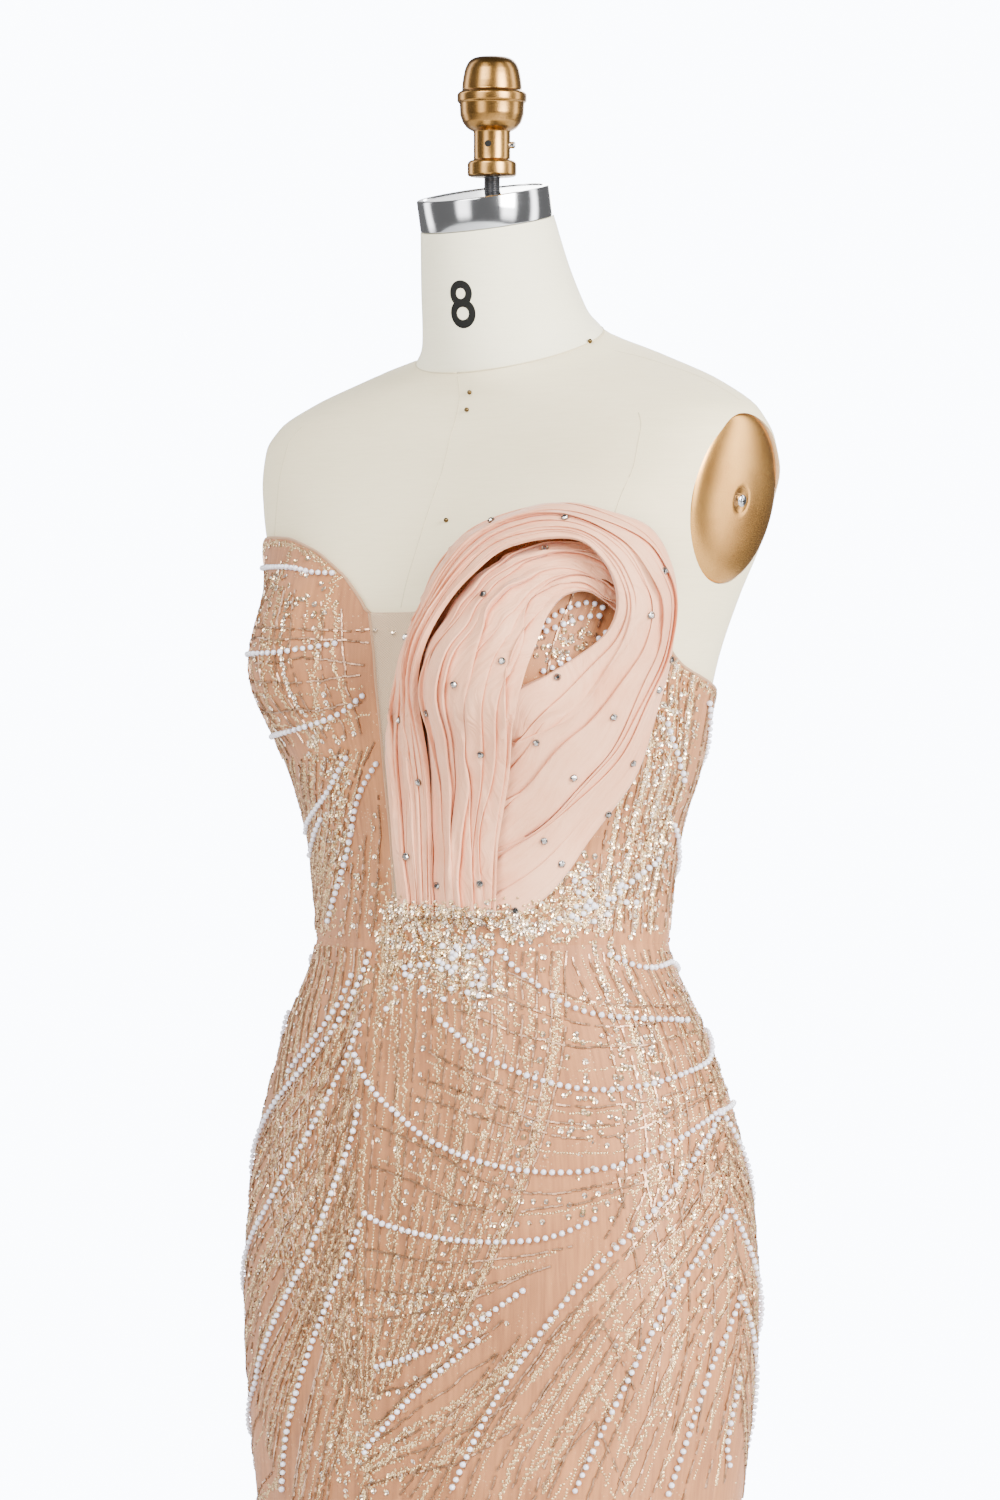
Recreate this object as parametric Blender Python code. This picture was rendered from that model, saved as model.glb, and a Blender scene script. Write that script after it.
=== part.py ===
"""Strapless beaded evening gown on its limbless dress form.

The form stands on a round base and a pole. Its padded torso carries the gown: a fitted bodice of seven
panels, a three-panel skirt that flares to the floor, and a pleated chiffon rosette over the left cup.
Frame: metres, +Z up, origin on the floor under the pole, the gown faces -Y, its left side is +X.
An angle on the figure is measured from the front (-Y) towards the left side (+X).
"""
import math

import bmesh
import bpy
import numpy as np
from mathutils import Matrix, Vector

# Heights of the figure and the gown
HEM_Z = 0.012
FORM_BOTTOM_Z = 0.770
WAIST_Z = 1.080
NECK_SEAM_Z = 1.476
NECK_TOP_Z = 1.557

# Cloth: clearance to the form, wall thicknesses and the gap between sewn pieces
CLOTH_CLEARANCE = 0.0012
BEADED_CLOTH = 0.0018
SHEER_MESH = 0.0012
CHIFFON = 0.0012
SEAM_GAP = 0.0003

# Cups: height over the figure's sections, centre and spread. The padded form fills them a little less.
CUP_HEIGHT = 0.036
FORM_CUP_HEIGHT = 0.0325
CUP_X = 0.088
CUP_Z = 1.262
CUP_SPREAD_X = 0.056
CUP_SPREAD_UP = 0.070
CUP_SPREAD_DOWN = 0.052

# Seams, as angles from the front in degrees
PRINCESS_SEAM = 62.0
SIDE_SEAM = 93.0
BACK_SEAM = 180.0

# Horizontal sections of the figure and the skirt, from hem to neck. squareness is the exponent of the
# superellipse (2 is an ellipse) and tilt is the rise of the section towards the back.
SECTION_COLUMNS = ("z", "half_width", "front", "back", "centre_y", "squareness", "tilt")
SECTIONS = (
    (0.012, 0.3000, 0.2700, 0.3000, 0.010, 2.00, 0.00),
    (0.200, 0.2150, 0.1900, 0.2050, 0.008, 2.00, 0.00),
    (0.380, 0.1580, 0.1340, 0.1380, 0.004, 2.05, 0.00),
    (0.500, 0.1460, 0.1180, 0.1180, 0.003, 2.12, 0.00),
    (0.600, 0.1550, 0.1160, 0.1170, 0.003, 2.20, 0.00),
    (0.720, 0.1760, 0.1140, 0.1180, 0.003, 2.30, 0.00),
    (0.840, 0.1870, 0.1120, 0.1220, 0.004, 2.36, 0.00),
    (0.900, 0.1845, 0.1100, 0.1180, 0.004, 2.34, 0.00),
    (0.960, 0.1745, 0.1050, 0.1080, 0.004, 2.28, 0.00),
    (1.020, 0.1545, 0.0980, 0.0970, 0.002, 2.18, 0.00),
    (1.080, 0.1270, 0.0920, 0.0890, 0.000, 2.10, 0.00),
    (1.140, 0.1325, 0.0950, 0.0920, 0.001, 2.10, 0.00),
    (1.200, 0.1490, 0.1030, 0.0990, 0.004, 2.15, 0.00),
    (1.260, 0.1590, 0.1070, 0.1050, 0.008, 2.20, 0.00),
    (1.310, 0.1720, 0.1020, 0.1060, 0.014, 2.40, 0.00),
    (1.340, 0.1830, 0.0940, 0.1010, 0.018, 2.70, 0.00),
    (1.370, 0.1915, 0.0830, 0.0900, 0.021, 3.20, 0.00),
    (1.394, 0.1975, 0.0740, 0.0780, 0.024, 3.50, 0.00),
    (1.411, 0.1985, 0.0680, 0.0680, 0.024, 3.40, 0.00),
    (1.428, 0.1925, 0.0620, 0.0600, 0.024, 2.95, 0.05),
    (1.446, 0.1650, 0.0580, 0.0550, 0.024, 2.45, 0.15),
    (1.462, 0.1190, 0.0560, 0.0520, 0.022, 2.15, 0.28),
    (1.476, 0.0690, 0.0550, 0.0520, 0.019, 2.00, 0.36),
    (1.492, 0.0560, 0.0535, 0.0520, 0.013, 2.00, 0.32),
    (1.523, 0.0495, 0.0490, 0.0490, 0.003, 2.00, 0.25),
    (1.557, 0.0445, 0.0445, 0.0445, -0.005, 2.00, 0.21),
)

# Top edge of the bodice: angle from the front in degrees, height
NECKLINE = (
    (0.0, 1.296), (5.0, 1.296), (8.0, 1.308), (12.0, 1.322), (20.0, 1.339), (32.0, 1.348), (48.0, 1.350),
    (60.0, 1.343), (70.0, 1.316), (82.0, 1.272), (93.0, 1.258), (118.0, 1.247), (150.0, 1.242),
    (180.0, 1.240),
)
# Edge of the plunging insert: height, angle from the front in degrees
PLUNGE = ((1.080, 1.0), (1.150, 1.6), (1.220, 2.0), (1.265, 3.0), (1.296, 5.0))
INSERT_TOP_Z = 1.296

# Heights of the rows of points that the skirt shares with the form, and of its rows below
HIP_ROWS = (1.045, 1.010, 0.970, 0.920, 0.860, 0.790)
FLARE_ROWS = (0.700, 0.580, 0.460, 0.330, 0.180)

# Skirt flutes: number round the hem, depth at the hem, height where they start
FLUTES = 8
FLUTE_DEPTH = 0.020
FLUTE_TOP_Z = 0.560

# Pleated chiffon bands of the rosette. Each row is one section across the band: the angle, height and
# stand-off from the figure of its inner edge (towards the eye), of its outer edge, and the extra
# height of its crown between them.
BAND_COLUMNS = ("in_angle", "in_z", "in_off", "out_angle", "out_z", "out_off", "crown")
OUTER_BAND = (
    (13.0, 1.100, 0.0099, 0.8, 1.100, 0.0065, 0.001),
    (13.5, 1.150, 0.0118, -0.4, 1.150, 0.0070, 0.002),
    (14.5, 1.205, 0.0140, 0.2, 1.205, 0.0075, 0.003),
    (17.5, 1.250, 0.0162, 4.8, 1.245, 0.0080, 0.003),
    (21.5, 1.284, 0.0205, 8.8, 1.282, 0.0085, 0.003),
    (24.5, 1.304, 0.0255, 8.5, 1.318, 0.0090, 0.003),
    (28.0, 1.320, 0.0295, 12.0, 1.345, 0.0090, 0.005),
    (35.0, 1.329, 0.0320, 25.0, 1.362, 0.0090, 0.008),
    (43.0, 1.331, 0.0330, 43.0, 1.359, 0.0090, 0.010),
    (51.0, 1.318, 0.0320, 59.0, 1.347, 0.0090, 0.012),
    (55.5, 1.298, 0.0290, 70.0, 1.318, 0.0090, 0.014),
    (56.0, 1.281, 0.0190, 76.5, 1.275, 0.0090, 0.015),
    (52.0, 1.267, 0.0090, 77.0, 1.232, 0.0090, 0.012),
    (46.0, 1.256, 0.0070, 72.0, 1.190, 0.0090, 0.008),
    (40.0, 1.249, 0.0065, 61.5, 1.151, 0.0080, 0.005),
    (35.0, 1.240, 0.0060, 50.0, 1.113, 0.0075, 0.003),
    (30.5, 1.226, 0.0058, 36.0, 1.087, 0.0065, 0.001),
)
INNER_BAND = (
    (33.5, 1.100, 0.0125, 11.8, 1.100, 0.0066, 0.002),
    (33.8, 1.150, 0.0140, 12.3, 1.150, 0.0078, 0.003),
    (36.5, 1.203, 0.0150, 13.2, 1.205, 0.0090, 0.004),
    (39.2, 1.246, 0.0150, 16.0, 1.250, 0.0105, 0.004),
    (41.0, 1.270, 0.0145, 19.5, 1.284, 0.0120, 0.004),
    (41.6, 1.290, 0.0140, 22.0, 1.306, 0.0125, 0.004),
    (43.5, 1.302, 0.0140, 26.5, 1.323, 0.0130, 0.004),
    (48.5, 1.306, 0.0130, 35.5, 1.333, 0.0130, 0.003),
    (54.0, 1.301, 0.0110, 45.5, 1.332, 0.0120, 0.002),
    (58.0, 1.296, 0.0090, 54.5, 1.322, 0.0100, 0.001),
)
OUTER_PLEATS = 6
INNER_PLEATS = 5
PLEAT_HEIGHT = 0.0016
# A pleat's tightest bend, in wall thicknesses, so that the wall never crosses itself
TIGHTEST_BEND = 1.6

# Padded shoulder ends: an oval plate in a shallow pocket, leaning out at the top
ARM_PLATE_CENTRE = (0.1800, 0.0250, 1.3710)
ARM_PLATE_LEAN = math.radians(11.0)
ARM_PLATE_HALF_HEIGHT = 0.0560
ARM_PLATE_HALF_DEPTH = 0.0445
ARM_PLATE_RIM = 0.0022
ARM_PLATE_DOME = 0.0085
ARM_SCREW_RADIUS = 0.0042

# Neck hardware and stand
CAP_HEIGHT = 0.0210
CAP_BEVEL = 0.0012
ROD_RADIUS = 0.0054
ROD_SINK = 0.0040
FINIAL_BOTTOM_Z = 1.5890
FINIAL_TOP_Z = 1.6690
FINIAL_TIP_RADIUS = 0.0040
STEM_RADIUS = 0.0123
SCREW_Z = 1.6100
FINIAL_SCREW_RADIUS = 0.0022
FINIAL_SCREW_TURN = math.radians(40.0)
# Turned outline of the finial up to the foot of its dome: radius, height
FINIAL_OUTLINE = (
    (0.0150, FINIAL_BOTTOM_Z), (0.0164, 1.5902), (0.0164, 1.5978), (0.0152, 1.5996), (STEM_RADIUS, 1.6000),
    (STEM_RADIUS, 1.6190), (0.0146, 1.6200), (0.0190, 1.6240), (0.0215, 1.6300), (0.0220, 1.6380),
    (0.0233, 1.6390), (0.0233, 1.6440), (0.0218, 1.6455), (0.0190, 1.6465), (0.0184, 1.6480),
)
DOME_STEPS = 4
POLE_RADIUS = 0.0125
BASE_RADIUS = 0.2100
BASE_EDGE = 0.0120
BASE_HEIGHT = 0.0260
BASE_BEVEL = 0.0030
BOSS_RADIUS = 0.0300
BOSS_HEIGHT = 0.0500

# Zip at the centre back: slider, pin and pull tab
SLIDER_Z = 1.2260
SLIDER_WIDTH = 0.0072
SLIDER_LENGTH = 0.0110
SLIDER_THICKNESS = 0.0024
LUG_WIDTH = 0.0014
LUG_LENGTH = 0.0034
PIN_RADIUS = 0.0006
PIN_HEIGHT = 0.0046
EYE_RADIUS = 0.0019
PULL_LENGTH = 0.0240
PULL_TOP_WIDTH = 0.0030
PULL_BOTTOM_WIDTH = 0.0056
PULL_THICKNESS = 0.0010

# Facets
TORSO_FACETS = 44
NECK_FACETS = 32


def smooth_curve(xs, ys, x):
    """Monotone cubic through the points (xs, ys), read at x."""
    xs = np.asarray(xs, float)
    ys = np.asarray(ys, float)
    x = np.clip(x, xs[0], xs[-1])
    steps = np.diff(xs)
    slopes = np.diff(ys) / steps
    product = slopes[:-1] * slopes[1:]
    mean = 2 * product / (slopes[:-1] + slopes[1:] + 1e-15)
    tangents = np.zeros_like(ys)
    tangents[1:-1] = np.where(product > 0, mean, 0.0)
    tangents[0] = slopes[0]
    tangents[-1] = slopes[-1]
    i = np.clip(np.searchsorted(xs, x) - 1, 0, len(steps) - 1)
    t = (x - xs[i]) / steps[i]
    h = steps[i]
    return (
        (2 * t**3 - 3 * t**2 + 1) * ys[i] + (t**3 - 2 * t**2 + t) * h * tangents[i]
        + (3 * t**2 - 2 * t**3) * ys[i + 1] + (t**3 - t**2) * h * tangents[i + 1]
    )


def smooth_step(x):
    """0 below 0, 1 above 1, and a smooth rise between."""
    x = np.clip(x, 0.0, 1.0)
    return x * x * (3 - 2 * x)


def figure(angle, z, cup_height=CUP_HEIGHT):
    """Points of the figure at an angle (radians from the front) and a section height."""
    angle, z = np.broadcast_arrays(np.asarray(angle, float), np.asarray(z, float))
    table = np.array(SECTIONS)
    half_width, front, back, centre_y, squareness, tilt = (
        smooth_curve(table[:, 0], table[:, column], z) for column in range(1, len(SECTION_COLUMNS))
    )
    s, c = np.sin(angle), np.cos(angle)
    x = half_width * np.sign(s) * np.abs(s) ** (2 / squareness)
    depth = np.where(c > 0, front, back)
    y = centre_y - depth * np.sign(c) * np.abs(c) ** (2 / squareness)
    spread_z = np.where(z > CUP_Z, CUP_SPREAD_UP, CUP_SPREAD_DOWN)
    cup = np.exp(-((np.abs(x) - CUP_X) / CUP_SPREAD_X) ** 2 - ((z - CUP_Z) / spread_z) ** 2)
    cup = cup * smooth_step((c + 0.35) / 0.6)
    y = y - cup_height * cup
    x = x + np.sign(x) * 0.3 * cup_height * cup * np.clip((np.abs(x) - 0.05) / 0.05, 0, 1)
    return np.stack([x, y, z + tilt * (y - centre_y)], -1)


def figure_normal(angle, z):
    """Outward normals of the figure."""
    e = 1e-3
    across = figure(angle + e, z) - figure(angle - e, z)
    upward = figure(angle, z + e) - figure(angle, z - e)
    normal = np.cross(across, upward)
    return normal / np.linalg.norm(normal, axis=-1, keepdims=True)


def off_figure(angle, z, stand_off):
    """Points that stand a distance off the figure."""
    stand_off = np.asarray(stand_off, float)
    return figure(angle, z) + figure_normal(angle, z) * stand_off[..., None]


def angle_for(length, angle, z):
    """The angle that spans a short length round the figure at one place."""
    e = 1e-3
    run = np.linalg.norm(figure(angle + e, z) - figure(angle - e, z), axis=-1) / (2 * e)
    return length / run


def neckline(angle):
    """Height of the bodice's top edge."""
    table = np.array(NECKLINE)
    return smooth_curve(table[:, 0], table[:, 1], np.degrees(np.abs(angle)))


def plunge(z):
    """Angle from the front of the insert's edge."""
    table = np.array(PLUNGE)
    return np.radians(smooth_curve(table[:, 0], table[:, 1], z))


def flute(angle, z):
    """How far the skirt's flutes stand out from its plain section."""
    depth = FLUTE_DEPTH * smooth_step((FLUTE_TOP_Z - z) / (FLUTE_TOP_Z - HEM_Z))
    return depth * np.cos(FLUTES * angle)


def make_material(name, colour, roughness, metallic=0.0):
    """A plain Principled material."""
    material = bpy.data.materials.new(name)
    material.use_nodes = True
    shader = material.node_tree.nodes["Principled BSDF"]
    shader.inputs["Base Color"].default_value = (*colour, 1.0)
    shader.inputs["Roughness"].default_value = roughness
    shader.inputs["Metallic"].default_value = metallic
    material.diffuse_color = (*colour, 1.0)
    return material


def add_object(name, mesh_data, material, smooth_angle=40.0):
    """Turn a bmesh into a named object with outward faces and its own material."""
    bmesh.ops.recalc_face_normals(mesh_data, faces=mesh_data.faces)
    mesh = bpy.data.meshes.new(name)
    mesh_data.to_mesh(mesh)
    mesh_data.free()
    mesh.shade_smooth()
    mesh.set_sharp_from_angle(angle=math.radians(smooth_angle))
    mesh.materials.append(material)
    thing = bpy.data.objects.new(name, mesh)
    bpy.context.scene.collection.objects.link(thing)
    return thing


def add_grid(mesh_data, points):
    """Vertices of a grid and the two triangles of each of its cells."""
    rows, columns = points.shape[:2]
    verts = [[mesh_data.verts.new(points[i, j]) for j in range(columns)] for i in range(rows)]
    for i in range(rows - 1):
        for j in range(columns - 1):
            a, b = verts[i][j], verts[i][j + 1]
            c, d = verts[i + 1][j + 1], verts[i + 1][j]
            mesh_data.faces.new((a, b, c))
            mesh_data.faces.new((a, c, d))
    return verts


def wall(name, outer, inner, material):
    """A closed wall between two grids of points of the same shape."""
    mesh_data = bmesh.new()
    front = add_grid(mesh_data, outer)
    back = add_grid(mesh_data, inner)

    def border(verts):
        rim = [verts[0][j] for j in range(len(verts[0]))]
        rim += [verts[i][-1] for i in range(1, len(verts))]
        rim += [verts[-1][j] for j in range(len(verts[0]) - 2, -1, -1)]
        rim += [verts[i][0] for i in range(len(verts) - 2, 0, -1)]
        return rim

    front_rim, back_rim = border(front), border(back)
    for k in range(len(front_rim)):
        a, b = front_rim[k - 1], front_rim[k]
        c, d = back_rim[k], back_rim[k - 1]
        mesh_data.faces.new((a, b, c))
        mesh_data.faces.new((a, c, d))
    return add_object(name, mesh_data, material)


def ring_solid(name, rings, material, smooth_angle=40.0):
    """A closed solid through rings of points, with a flat cap at each end."""
    mesh_data = bmesh.new()
    loops = [[mesh_data.verts.new(point) for point in ring] for ring in rings]
    for low, high in zip(loops, loops[1:]):
        for k in range(len(low)):
            a, b = low[k - 1], low[k]
            c, d = high[k], high[k - 1]
            mesh_data.faces.new((a, b, c))
            mesh_data.faces.new((a, c, d))
    mesh_data.faces.new(loops[0])
    mesh_data.faces.new(loops[-1])
    return add_object(name, mesh_data, material, smooth_angle)


def turned(name, profile, facets, material, smooth_angle=40.0, base=None):
    """A turned solid from (radius, height) points, flat at both ends, in the frame of base."""
    base = base or Matrix.Identity(4)
    rings = []
    for radius, height in profile:
        turns = [2 * math.pi * k / facets for k in range(facets)]
        ring = [Vector((radius * math.cos(t), radius * math.sin(t), height)) for t in turns]
        rings.append([base @ point for point in ring])
    return ring_solid(name, rings, material, smooth_angle)


def cut(thing, tool, operation="DIFFERENCE"):
    """Cut a hidden tool from a solid, or join it on."""
    tool.hide_render = True
    tool.display_type = "WIRE"
    modifier = thing.modifiers.new(tool.name, "BOOLEAN")
    modifier.operation = operation
    modifier.solver = "EXACT"
    modifier.object = tool


def box_tool(name, size, centre, base, material):
    """A plain box, given by its size and centre in the frame of base."""
    mesh_data = bmesh.new()
    bmesh.ops.create_cube(mesh_data, size=1.0)
    for vert in mesh_data.verts:
        vert.co = base @ Vector(c + s * v for c, s, v in zip(centre, size, vert.co))
    return add_object(name, mesh_data, material, 30.0)


def blend_edges(left, right, low, high, rows, columns):
    """Angles and heights of a panel that is bounded by four edges, each a function of 0..1."""
    u = np.linspace(0, 1, columns)[None, :]
    v = np.linspace(0, 1, rows)[:, None]
    corners = [np.array(edge(end)) for edge, end in ((low, 0.0), (low, 1.0), (high, 0.0), (high, 1.0))]

    def stretch(edge, t):
        return [np.broadcast_to(value, t.shape) for value in edge(t)]

    blended = []
    for k in range(2):
        sides = (1 - u) * stretch(left, v)[k] + u * stretch(right, v)[k]
        ends = (1 - v) * stretch(low, u)[k] + v * stretch(high, u)[k]
        flat = (1 - u) * (1 - v) * corners[0][k] + u * (1 - v) * corners[1][k]
        flat = flat + (1 - u) * v * corners[2][k] + u * v * corners[3][k]
        blended.append(sides + ends - flat)
    return blended


def bodice_panel(name, left_edge, right_edge, rows, columns, thickness, material):
    """A bodice panel between two seam lines, each an angle for a height, from waist to neckline."""
    bottom = WAIST_Z + SEAM_GAP / 2

    def side(edge, sign):
        def meet_top():
            top = neckline(edge(INSERT_TOP_Z))
            for _ in range(4):
                top = neckline(edge(top))
            return float(top)

        top = meet_top()

        def run(t):
            z = bottom + t * (top - bottom)
            angle = edge(z)
            return angle + sign * angle_for(SEAM_GAP / 2, angle, z), z
        return run

    left, right = side(left_edge, 1), side(right_edge, -1)

    def low(t):
        a, b = left(0.0)[0], right(0.0)[0]
        return a + t * (b - a), bottom + 0 * t

    def high(t):
        a, b = left(1.0)[0], right(1.0)[0]
        angle = a + t * (b - a)
        return angle, neckline(angle)

    angle, z = blend_edges(left, right, low, high, rows, columns)
    outer = off_figure(angle, z, np.full(angle.shape, CLOTH_CLEARANCE + thickness))
    inner = off_figure(angle, z, np.full(angle.shape, CLOTH_CLEARANCE))
    return wall(name, outer, inner, material)


def skirt_panel(name, left, right, columns, material):
    """A skirt panel from the waist to the hem between two straight seams (angles in degrees)."""
    heights = np.array([WAIST_Z - SEAM_GAP / 2, *HIP_ROWS, *FLARE_ROWS, HEM_Z])
    z = np.broadcast_to(heights[:, None], (len(heights), columns))
    turn = np.radians(left + (right - left) * np.linspace(0, 1, columns))[None, :]
    trim = angle_for(SEAM_GAP / 2, turn, z)
    inset = np.zeros(columns)
    inset[0], inset[-1] = 1.0, -1.0
    angle = turn + trim * inset
    clearance = CLOTH_CLEARANCE + flute(angle, z)
    outer = off_figure(angle, z, clearance + BEADED_CLOTH)
    inner = off_figure(angle, z, clearance)
    return wall(name, outer, inner, material)


def catmull_rom(rows, samples):
    """Rows of a table read at smooth steps between them."""
    rows = np.array(rows, float)
    ends = np.vstack([2 * rows[0] - rows[1], rows, 2 * rows[-1] - rows[-2]])
    position = np.linspace(0, len(rows) - 1, samples)
    i = np.clip(position.astype(int), 0, len(rows) - 2)
    t = (position - i)[:, None]
    p0, p1, p2, p3 = (ends[i + k] for k in range(4))
    return 0.5 * (
        2 * p1 + (p2 - p0) * t + (2 * p0 - 5 * p1 + 4 * p2 - p3) * t**2
        + (3 * p1 - p0 - 3 * p2 + p3) * t**3
    )


def grid_normals(points):
    """Unit normals of a grid of points."""
    along = np.gradient(points, axis=0)
    across = np.gradient(points, axis=1)
    normal = np.cross(across, along)
    return normal / np.linalg.norm(normal, axis=-1, keepdims=True)


def pleated_band(name, sections, pleats, samples, material):
    """A chiffon band through its sections, with pleats that run along it."""
    rows = dict(zip(BAND_COLUMNS, catmull_rom(sections, samples).T[:, :, None]))
    across = np.linspace(0, 1, 4 * pleats + 1)[None, :]

    def between(kind):
        return rows["in_" + kind] * (1 - across) + rows["out_" + kind] * across

    angle = np.radians(between("angle"))
    z = between("z")
    stand_off = between("off") + rows["crown"] * 4 * across * (1 - across)
    plain = off_figure(angle, z, stand_off)
    width = np.linalg.norm(np.diff(plain, axis=1), axis=-1).sum(axis=1, keepdims=True)
    pitch = width / pleats
    height = np.minimum(PLEAT_HEIGHT, pitch**2 / (4 * math.pi**2 * TIGHTEST_BEND * CHIFFON))
    normal = grid_normals(plain)
    normal = normal * np.sign(np.sum(normal * figure_normal(angle, z), axis=-1, keepdims=True))
    wave = np.cos(2 * math.pi * pleats * across)
    outer = plain + normal * (height * wave)[..., None]
    facing = grid_normals(outer)
    facing = facing * np.sign(np.sum(facing * normal, axis=-1, keepdims=True))
    return wall(name, outer, outer - CHIFFON * facing, material)


def build_torso(material):
    """The padded torso, flat underneath and at the slanted neck seam."""
    lower = np.array([FORM_BOTTOM_Z, *reversed(HIP_ROWS)])
    waist_to_bust = np.linspace(1.080, 1.340, 12)
    shoulders = np.array([1.364, 1.388, 1.406, 1.420, 1.432, 1.444, 1.455, 1.466])
    heights = np.concatenate([lower, waist_to_bust, shoulders, [NECK_SEAM_Z]])
    turns = 2 * math.pi * np.arange(TORSO_FACETS) / TORSO_FACETS
    rings = [figure(turns, np.full(turns.shape, z), FORM_CUP_HEIGHT) for z in heights]
    return ring_solid("form_torso", rings, material, 60.0)


def build_neck(material):
    """The neck block, which stands on the torso's neck seam."""
    turns = 2 * math.pi * np.arange(NECK_FACETS) / NECK_FACETS
    rings = []
    for z in (NECK_SEAM_Z, 1.483, 1.492, 1.506, 1.523, 1.540, NECK_TOP_Z):
        ring = figure(turns, np.full(turns.shape, z), 0.0)
        if z == NECK_SEAM_Z:
            ring = ring + np.array([0.0, 0.0, SEAM_GAP])
        rings.append(ring)
    return ring_solid("form_neck", rings, material, 60.0)


def cap_frame():
    """Frame of the neck's slanted top: origin at its centre, +Z square to it."""
    top = dict(zip(SECTION_COLUMNS, SECTIONS[-1]))
    slope = math.atan(top["tilt"])
    place = Matrix.Translation((0.0, top["centre_y"], NECK_TOP_Z))
    return place @ Matrix.Rotation(slope, 4, "X")


def build_neck_hardware(steel, dark, gold):
    """The steel cap on the neck, the threaded rod, the turned finial and its set screw."""
    radius = SECTIONS[-1][1]
    frame = cap_frame()
    bottom, top = SEAM_GAP, SEAM_GAP + CAP_HEIGHT
    cap_profile = (
        (radius - CAP_BEVEL, bottom), (radius, bottom + CAP_BEVEL), (radius, top - CAP_BEVEL),
        (radius - CAP_BEVEL, top),
    )
    cap = turned("neck_cap", cap_profile, NECK_FACETS, steel, 35.0, frame)
    hole_radius = ROD_RADIUS + SEAM_GAP
    cut(cap, turned("rod_hole", ((hole_radius, WAIST_Z), (hole_radius, FINIAL_TOP_Z)), 20, dark))
    rod = ((ROD_RADIUS, NECK_TOP_Z + ROD_SINK), (ROD_RADIUS, FINIAL_BOTTOM_Z - SEAM_GAP))
    turned("neck_rod", rod, 20, dark, 35.0)
    profile = list(FINIAL_OUTLINE)
    dome_radius, dome_bottom = profile[-1]
    for step in range(1, DOME_STEPS):
        lift = step * math.pi / 2 / DOME_STEPS
        height = (FINIAL_TOP_Z - dome_bottom) * math.sin(lift)
        profile.append((dome_radius * math.sqrt(math.cos(lift)), dome_bottom + height))
    profile.append((FINIAL_TIP_RADIUS, FINIAL_TOP_Z))
    turned("finial", profile, 22, gold, 50.0)
    screw_frame = Matrix.Rotation(FINIAL_SCREW_TURN, 4, "Z") @ Matrix.Translation((0, 0, SCREW_Z))
    screw_frame = screw_frame @ Matrix.Rotation(math.pi / 2, 4, "Y")
    start = STEM_RADIUS + SEAM_GAP
    screw = (
        (FINIAL_SCREW_RADIUS, start), (FINIAL_SCREW_RADIUS, start + 0.0022),
        (FINIAL_SCREW_RADIUS * 0.7, start + 0.0028),
    )
    turned("finial_screw", screw, 14, steel, 35.0, screw_frame)


def arm_plate_frame(side):
    """Frame of an arm plate's pocket floor: +Z out of the shoulder, +Y up the plate."""
    x, y, z = ARM_PLATE_CENTRE
    out = Vector((side * math.cos(ARM_PLATE_LEAN), 0.0, -math.sin(ARM_PLATE_LEAN)))
    up = Vector((side * math.sin(ARM_PLATE_LEAN), 0.0, math.cos(ARM_PLATE_LEAN)))
    forward = up.cross(out)
    axes = Matrix((forward, up, out)).transposed().to_4x4()
    return Matrix.Translation((side * x, y, z)) @ axes


def oval_solid(name, frame, rows, facets, material, smooth_angle=40.0):
    """A solid of oval sections (scale, height) on an arm plate's frame."""
    rings = []
    for scale, height in rows:
        ring = []
        for k in range(facets):
            turn = 2 * math.pi * k / facets
            local = Vector((
                ARM_PLATE_HALF_DEPTH * scale * math.cos(turn), ARM_PLATE_HALF_HEIGHT * scale * math.sin(turn),
                height,
            ))
            ring.append(frame @ local)
        rings.append(ring)
    return ring_solid(name, rings, material, smooth_angle)


def build_arm_plates(torso, gold, steel):
    """The oval plates that close the shoulder ends, each in its pocket with its screw."""
    pocket_scale = 1 + SEAM_GAP / ARM_PLATE_HALF_DEPTH
    for side, label in ((1, "left"), (-1, "right")):
        frame = arm_plate_frame(side)
        pocket = oval_solid("pocket_" + label, frame, ((pocket_scale, 0.0), (pocket_scale, 0.050)), 30, gold)
        cut(torso, pocket)
        rows = [(0.985, SEAM_GAP), (1.0, SEAM_GAP + 0.0005), (1.0, SEAM_GAP + ARM_PLATE_RIM)]
        for step in range(1, 4):
            lift = step / 4
            rows.append((math.sqrt(1 - lift**2), SEAM_GAP + ARM_PLATE_RIM + ARM_PLATE_DOME * lift))
        flat_scale = ARM_SCREW_RADIUS * 1.6 / ARM_PLATE_HALF_DEPTH
        top = SEAM_GAP + ARM_PLATE_RIM + ARM_PLATE_DOME
        rows.append((flat_scale, top))
        oval_solid("arm_plate_" + label, frame, rows, 30, gold, 50.0)
        head = top + SEAM_GAP
        screw = ((ARM_SCREW_RADIUS, head), (ARM_SCREW_RADIUS, head + 0.0008), (0.0028, head + 0.0018))
        turned("arm_screw_" + label, screw, 16, steel, 35.0, frame)


def build_stand(steel, dark):
    """The weighted base and the pole that carries the torso."""
    base_profile = (
        (BASE_RADIUS - BASE_BEVEL, 0.0), (BASE_RADIUS, BASE_BEVEL), (BASE_RADIUS, BASE_EDGE - BASE_BEVEL),
        (BASE_RADIUS - BASE_BEVEL, BASE_EDGE), (2 * BOSS_RADIUS, BASE_HEIGHT),
        (BOSS_RADIUS, BASE_HEIGHT + 2 * BASE_BEVEL), (BOSS_RADIUS, BOSS_HEIGHT - BASE_BEVEL),
        (BOSS_RADIUS - BASE_BEVEL, BOSS_HEIGHT),
    )
    turned("stand_base", base_profile, 40, dark, 35.0)
    pole = ((POLE_RADIUS, BOSS_HEIGHT + SEAM_GAP), (POLE_RADIUS, FORM_BOTTOM_Z - SEAM_GAP))
    turned("stand_pole", pole, 24, steel, 35.0)


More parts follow.
